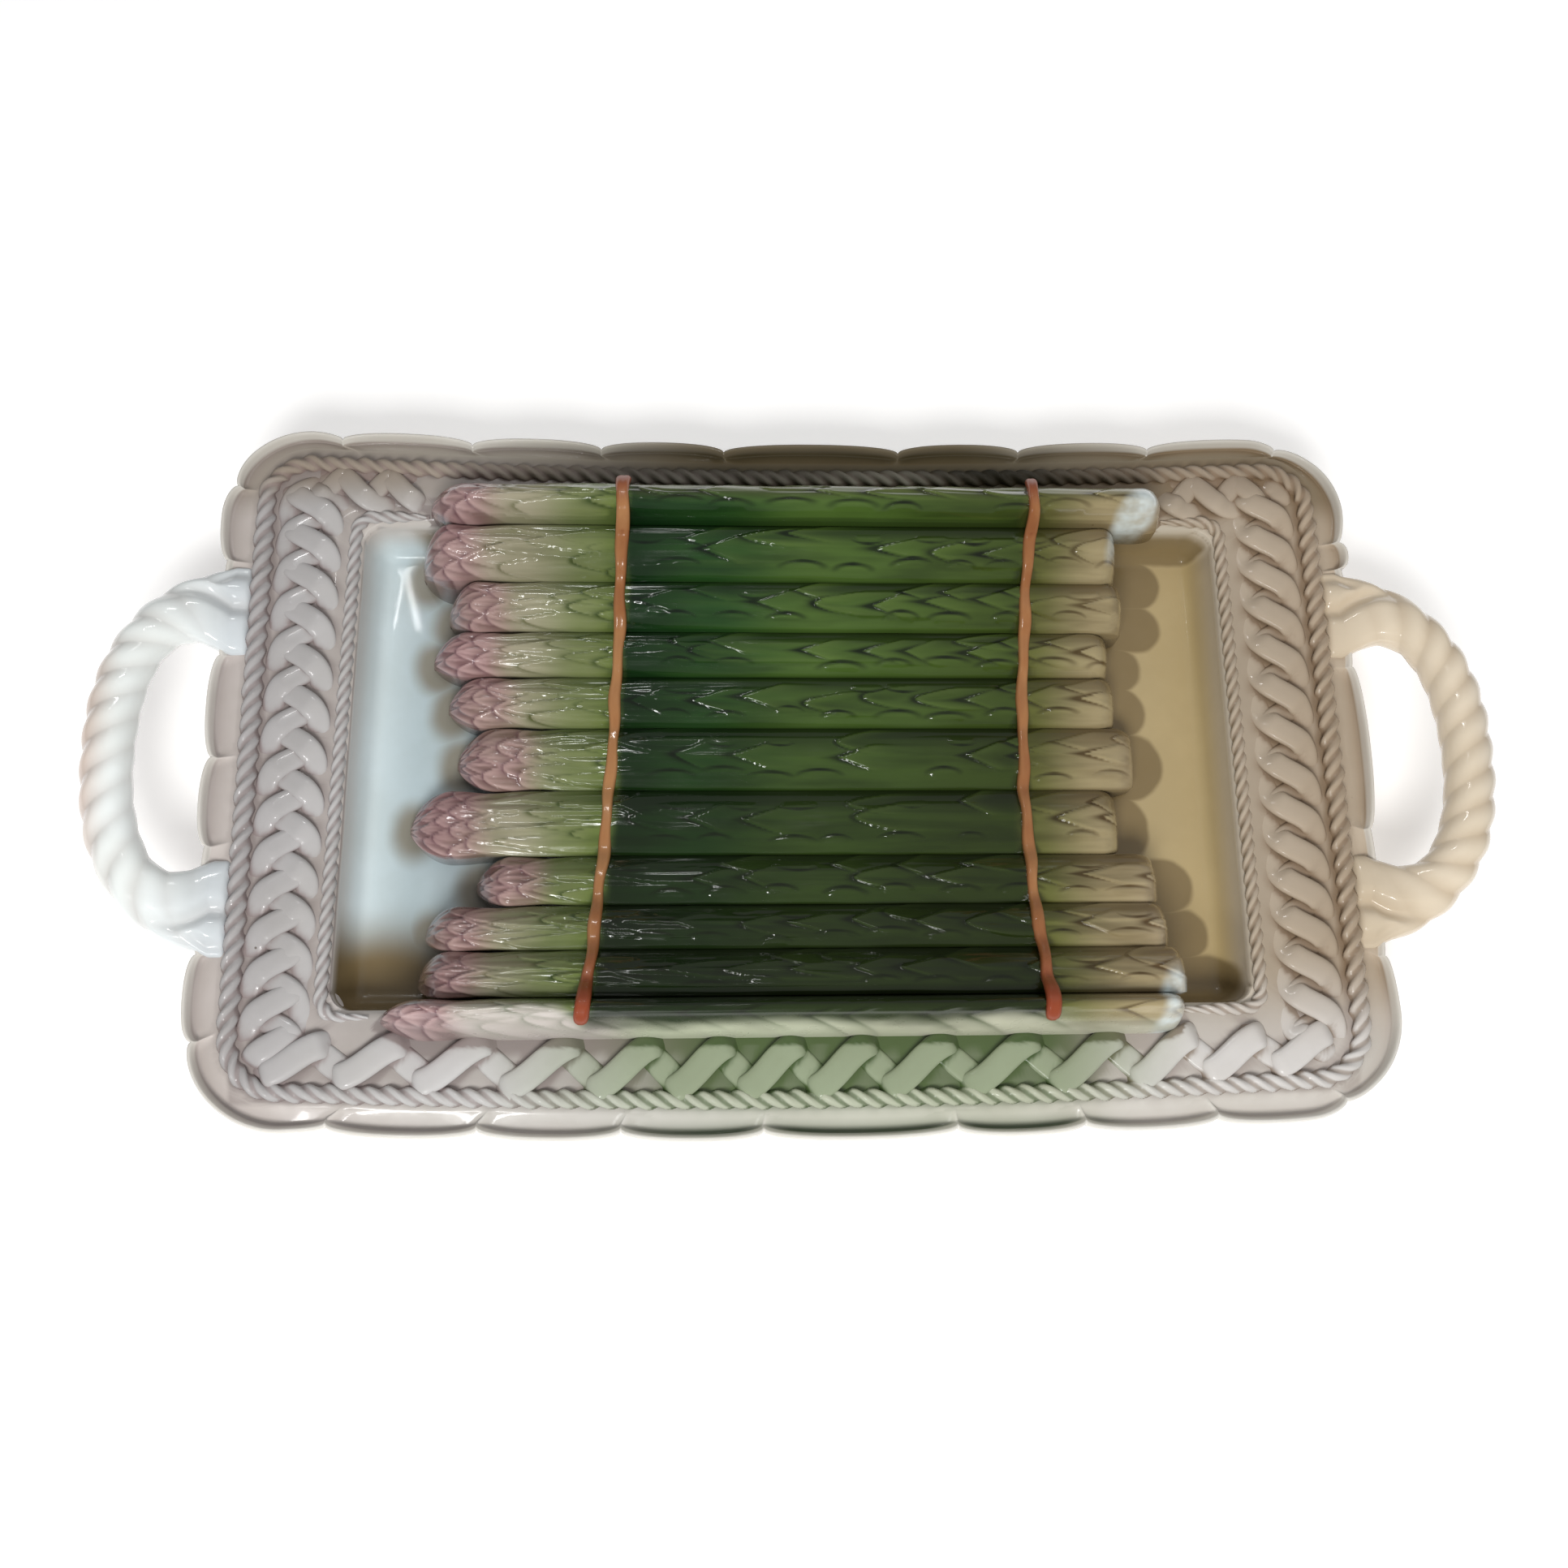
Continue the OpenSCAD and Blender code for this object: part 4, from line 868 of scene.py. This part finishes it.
ROPE = Glaze("rope_glaze")
far_rope = ROPE.y.ramp(0.075, 0.09)
rope_mat = ROPE.finish(border_colour(ROPE, True), rough=far_rope * 0.35 + 0.2, bump=0.25,
                       coat=0.4 - far_rope * 0.36)
ROPE_POINTS, ROPE_Z, ROPE_LAY = 1400, 28.4, 0.0162
ROPE_MID = inset(ROPE_OUT, 3.375)
path = bowed(loop_at(np.linspace(0, 4, ROPE_POINTS, endpoint=False), ROPE_MID, 14)[0])
path[:, 1] -= 2.4 * smooth(ROPE_MID[2] - 14, ROPE_MID[2] - 3, path[:, 1] + BOW * 0.5)
slim = 1 - 0.13 * smooth(70, 92, np.abs(path[:, 1]))
border_rope = swept("border_rope_twist", [raised(path, ROPE_Z)], rope_mat, radii=[slim],
                    cyclic=True, Step=0.0007, Turns=2 * math.pi / ROPE_LAY, Strands=3.0,
                    Depth=0.3, Width=0.0068, Height=0.0062, Sides=24)
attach(border_rope, "root")
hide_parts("border_rope")
# the thin ropes round three sides of each well, pinched off at their ends
THIN_POINTS, THIN_Z, THIN_LAY, PINCH = 360, 28.2, 0.0135, 14
for name, t0, t1 in (("left_well_rope", 2.955, 4.078), ("right_well_rope", 0.935, 2.087)):
    path = skewed(loop_at(np.linspace(t0, t1, THIN_POINTS), inset(WELL, -2.0), 5.5)[0])
    from_end = np.minimum(np.arange(THIN_POINTS), np.arange(THIN_POINTS)[::-1])
    thin = np.minimum(1, 0.35 + 0.65 * from_end / PINCH)
    rope = swept(name + "_twist", [raised(path, THIN_Z)], rope_mat, radii=[thin], Step=0.0006,
                 Turns=2 * math.pi / THIN_LAY, Strands=3.0, Depth=0.32, Width=0.0042,
                 Height=0.0042, Sides=20)
    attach(rope, "root")
    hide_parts(name)

# The plaits are flat bands of three clay strands: each swings from side to side and over and
# under the others. Every side of the border has its own run, with its own reach and pitch.
PLAIT = Glaze("plait_glaze")
plait_mat = PLAIT.finish(border_colour(PLAIT, False), rough=0.2, bump=0.3, coat=0.4)


def plait_paths(length, reach, period, lift, snap, lean, sink, phase=0.0, low=0.6):
    """Three strands as (run, swing, height) over the length. Snap makes them cross more steeply,
    lean, from -1 to 1 at each end, brings the strands that swing one way up over the others,
    phase, in radians, moves the pattern along, and sink presses the strands into the border
    from where they have swung to low, a share of their reach."""
    u = np.linspace(0, length, max(60, int(length / 0.8)))
    bury = 3.4 * (1 - smooth(0, 7, np.minimum(u, length - u)))
    strands = []
    for k in range(3):
        angle = 2 * np.pi * (u / period + k / 3) + phase + 0.25 * np.sin(u / 23.0)
        tip = lean[0] + (lean[1] - lean[0]) * u / length
        over = tip * np.cos(angle) + (1 - np.abs(tip)) * np.sin(2 * angle)
        swing = np.tanh(snap * np.sin(angle)) / math.tanh(snap)
        pressed = sink * smooth(low, 1.0, np.abs(swing))
        strands.append((u, reach * swing, lift * over - pressed - bury))
    return strands


PLAIT_Z = 28.9
# the two plaits across the ends, then the two along the sides, whose runs are given
for name, reach, period, width, lift, snap, lean, sink, runs in (
        ("left_plait", 6.8, 36.6, 7.8, 1.2, 1.2, (0.6, -0.6), 1.6, None),
        ("right_plait", 6.6, 36, 8.2, 1.2, 1.3, (0.8, 0.8), 1.8, None),
        ("near_plait", 7.8, 66, 8.6, 1.2, 1.1, (0.8, 0.8), 4.0, [(-157, 155)]),
        ("far_plait", 5.2, 44, 7.4, 1.1, 1.2, (-0.5, -0.5), 1.6, [(-152, -112), (113, 150)])):
    paths = []
    form = (reach, period, lift, snap, lean, sink)
    if runs is None:
        left = name == "left_plait"
        x = (ROPE_OUT[0] + 6 + WELL[0] - 5.0) / 2 if left else (ROPE_OUT[1] - 6 + WELL[1] + 4.8) / 2
        y_from, y_to = 95.0, -88.0
        length = y_from - y_to
        for u, swing, high in plait_paths(length, *form):
            drift = -1.2 * u / length if left else 0
            paths.append(np.column_stack([x + drift + swing, y_from - u, PLAIT_Z + high]))
    else:
        near = name == "near_plait"
        y = (RIM[3] + 11.5 + GROOVES[11] + 3) / 2 if near else (RIM[2] - 11 + WELL[2] + 7.8) / 2
        for x_from, x_to in runs:
            for u, swing, high in plait_paths(x_to - x_from, *form, 0.7, 0.75 if near else 0.6):
                x = x_from + u
                swing = swing * (1 - (0.32 * smooth(85, 140, np.abs(x)) if near else 0))
                paths.append(raised(bowed(np.column_stack([x, y + swing])), PLAIT_Z + high))
    plait = swept(name + "_strands", paths, plait_mat, Step=0.0007, Turns=0.0, Strands=4.0,
                  Depth=-0.13, Width=width * 0.92 * MM, Height=0.0034, Sides=24)
    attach(plait, "root")
    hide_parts(name)

# Each handle is a thick twisted bow of clay. Its two ends widen, flatten and fork into roots
# that were smeared onto the rim by hand, so the bow and its roots are one mesh of rings.
HANDLE = Glaze("handle_glaze")
# white at the left and tan at the right, partly the glaze's own colour and partly a painted tint of
# cool and warm light
warm = HANDLE.x.ramp(-0.05, 0.05)
tone = warm.mix((249, 255, 255), (232, 218, 196))
# painted shade, darker towards the roots
tone = (HANDLE.number("root") * 0.7).mix(
    tone, warm.mix((196, 204, 212), (200, 184, 160)))
# tan along the outer sides, partly the glaze's own colour and partly painted shade
outer = HANDLE.x.ramp(0.198, 0.2085).most(HANDLE.x.fall(-0.2075, -0.196))
tone = (outer * 0.85).mix(tone, warm.mix((222, 196, 180), (224, 216, 204)))
# painted shade where glaze pools and shade lies low, and in the twist's troughs
low = HANDLE.number("pool").ramp(0.3, 2.0).most(HANDLE.number("valley") * 0.7)
tone = (low * 0.8).mix(tone, warm.mix((176, 164, 158), (164, 136, 100)))
handle_mat = HANDLE.finish(tone, bump=0.2)
HANDLE_OUT, HANDLE_T, HANDLE_W, ROOT_W = 36.1, 14.8, 90.5, 28.0
RISE, LAY, STRANDS = 5.0, 28.5, 3
BOW_POINTS, LEAD_POINTS, HANDLE_RINGS, HANDLE_SIDES = 400, 24, 340, 112


def handle_form(side, stand):
    """Rings round the bow, how deep each point lies between two strands or in the fork's dent,
    which is painted as shade, and how far each point belongs to a root. Side is -1 for the left
    handle, and stand is how far the roots reach in over the rim."""
    rim_x = RIM[1] + 0.1 if side > 0 else RIM[0] - 0.1
    reach = (BODY_L / 2 + HANDLE_OUT) - abs(rim_x) - HANDLE_T / 2
    angle = np.linspace(0, np.pi, BOW_POINTS)
    bow = np.column_stack([reach * np.abs(np.sin(angle)) ** 0.833,
                           BODY[1] + 0.4 + HANDLE_W / 2 * signed(np.cos(angle), 0.833)])
    lead = np.linspace(-stand, 0, LEAD_POINTS)[:-1]
    spine = np.concatenate([np.column_stack([lead, np.full(len(lead), bow[0, 1])]), bow,
                            np.column_stack([lead[::-1], np.full(len(lead), bow[-1, 1])])])
    length = np.concatenate([[0], np.cumsum(np.linalg.norm(np.diff(spine, axis=0), axis=1))])
    run = np.linspace(0, length[-1], HANDLE_RINGS)
    spine = np.column_stack([np.interp(run, length, spine[:, i]) for i in (0, 1)])
    ahead = np.gradient(spine, axis=0)
    for _ in range(3):
        ahead[1:-1] = (ahead[:-2] + 2 * ahead[1:-1] + ahead[2:]) / 4
    ahead /= np.linalg.norm(ahead, axis=1)[:, None]
    away = np.column_stack([-ahead[:, 1], ahead[:, 0]])
    left = np.minimum(run, run[-1] - run)[:, None]
    root = np.clip(1 - (left - stand * 0.6) / (ROOT_W * 1.05), 0, 1) ** 1.8
    over_rim = np.sin(np.pi * np.clip((run - stand) / (run[-1] - 2 * stand), 0, 1))[:, None]
    lift = BORDER_Z - 1 + RISE * over_rim + HANDLE_T * 0.12 * (1 - root)
    # the twist, whose strands show most on the outer side
    theta = np.linspace(0, 2 * np.pi, HANDLE_SIDES, endpoint=False)
    c, t = np.cos(theta)[None], np.sin(theta)[None]
    turn = STRANDS * theta[None] - side * STRANDS * 2 * np.pi * run[:, None] / LAY
    outward = 0.5 + 0.5 * c
    trough = 1 - (0.5 + 0.5 * np.cos(turn)) ** 0.6
    cord = (1 - root) * (0.35 + 0.65 * outward) * 0.13
    r = HANDLE_T / 2 * (1 - cord * trough + 0.01 * np.sin(run[:, None] / 7))
    close = np.sqrt(np.clip(1 - np.clip(1 - left / 1.6, 0, 1) ** 2, 0.02, 1))
    u = r * signed(c, 0.9) * (1 + (ROOT_W / HANDLE_T - 1) * root) * (0.86 + 0.14 * close)
    v = r * signed(t, 1 - 0.25 * root) * (1 - 0.22 * root) * (0.5 + 0.5 * close)
    # the fork: a dent that runs along the root, and a pit at its outer side
    fork = (HANDLE_T / 2 + (ROOT_W - HANDLE_T) / 2 * root) * (0.95 - 0.9 * root)
    dent = np.exp(-((u - fork) / 2.6) ** 2) * smooth(0.02, 0.75, root)
    pit = np.exp(-((u - 0.82 * (ROOT_W / 2 * root)) / 2.2) ** 2) * smooth(0.5, 0.95, root)
    dent = np.maximum(dent, 0.6 * pit) * (t > 0) * np.abs(t) ** 0.5
    v = (v - 3.2 * dent) * (1 - 0.4 * np.exp(-left / 3.0))
    pts = np.stack([rim_x + side * spine[:, :1] + side * away[:, :1] * u,
                    spine[:, 1:] + away[:, 1:] * u, lift + v], -1)
    # painted shade in the twist's troughs, most on the outer side, and in the fork's dent
    shaded = np.maximum(trough * (1 - root) * (0.25 + 0.75 * outward), dent * 0.4)
    return pts, shaded, np.repeat(root, HANDLE_SIDES)


for name, side, stand in (("left_handle", -1, 8.4), ("right_handle", 1, 7.4)):
    pts, valley, root = handle_form(side, stand)
    handle = mesh_piece(name + "_rope", pts.reshape(-1, 3),
                        tube_faces(*pts.shape[:2], turned=side > 0))
    spread(handle, "valley", valley.ravel())
    spread(handle, "root", root)
    handle.data.materials.append(handle_mat)
    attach(handle, "root")
    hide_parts(name)

# The glaze pools in what lies low, and shade is painted there too. A map of the highest surface
# seen from above is blurred, and how far a point lies below it is the point's share of that pool
# and shade.
CELL = 0.6
GRID_X, GRID_Y = np.arange(-216, 216, CELL), np.arange(-114, 114, CELL)
gx, gy = np.meshgrid(GRID_X, GRID_Y, indexing="ij")
on_dish = (gx > RIM[0] - 2) & (gx < RIM[1] + 2) & (gy > RIM[3] - 4) & (gy < RIM[2])
top_map = np.where(on_dish, well_z(gx, gy), 20.0)


def cells(co):
    """Each point's row and column in the map."""
    return [np.clip(((co[:, axis] - grid[0]) / CELL).round().astype(int), 0, len(grid) - 1)
            for axis, grid in enumerate((GRID_X, GRID_Y))]


def per_point(values, what):
    """Three numbers for each of a mesh's points."""
    found = np.zeros(len(values) * 3, np.float32)
    values.foreach_get(what, found)
    return found.reshape(-1, 3)


def blurred(field, sigma):
    n = int(3 * sigma / CELL) + 1
    kernel = np.exp(-(np.arange(-n, n + 1) * CELL / sigma) ** 2 / 2)
    kernel = kernel / kernel.sum()
    for axis in (0, 1):
        field = np.apply_along_axis(
            lambda r: np.convolve(np.pad(r, n, mode="edge"), kernel, "valid"), axis, field)
    return field


glazed = [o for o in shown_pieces()
          if o.type == "MESH" and o.data.vertices and not o.name.startswith("floor")]
places = {}
for piece in glazed:
    co = places[piece.name] = per_point(piece.data.vertices, "co") / MM
    np.maximum.at(top_map, tuple(cells(co)), co[:, 2])
for axis in (0, 1):
    beside = np.maximum(np.roll(top_map, 1, axis), np.roll(top_map, -1, axis))
    top_map = np.maximum(top_map, beside - 0.25)
wide_map, fine_map = blurred(top_map, 2.6), blurred(top_map, 1.1)
for piece in glazed:
    co = places[piece.name]
    i, j = cells(co)
    sunk = 0.55 * (wide_map[i, j] - co[:, 2]) + 0.9 * (fine_map[i, j] - co[:, 2])
    if piece.name.endswith("handle_rope"):
        # a handle's painted shade lies on its underside alone, and comes in softly round its sides
        facing = per_point(piece.data.vertex_normals, "vector")[:, 2]
        sunk = sunk * smooth(0.1, 0.5, -facing)
    spread(piece, "pool", np.clip(sunk, -2, 6))
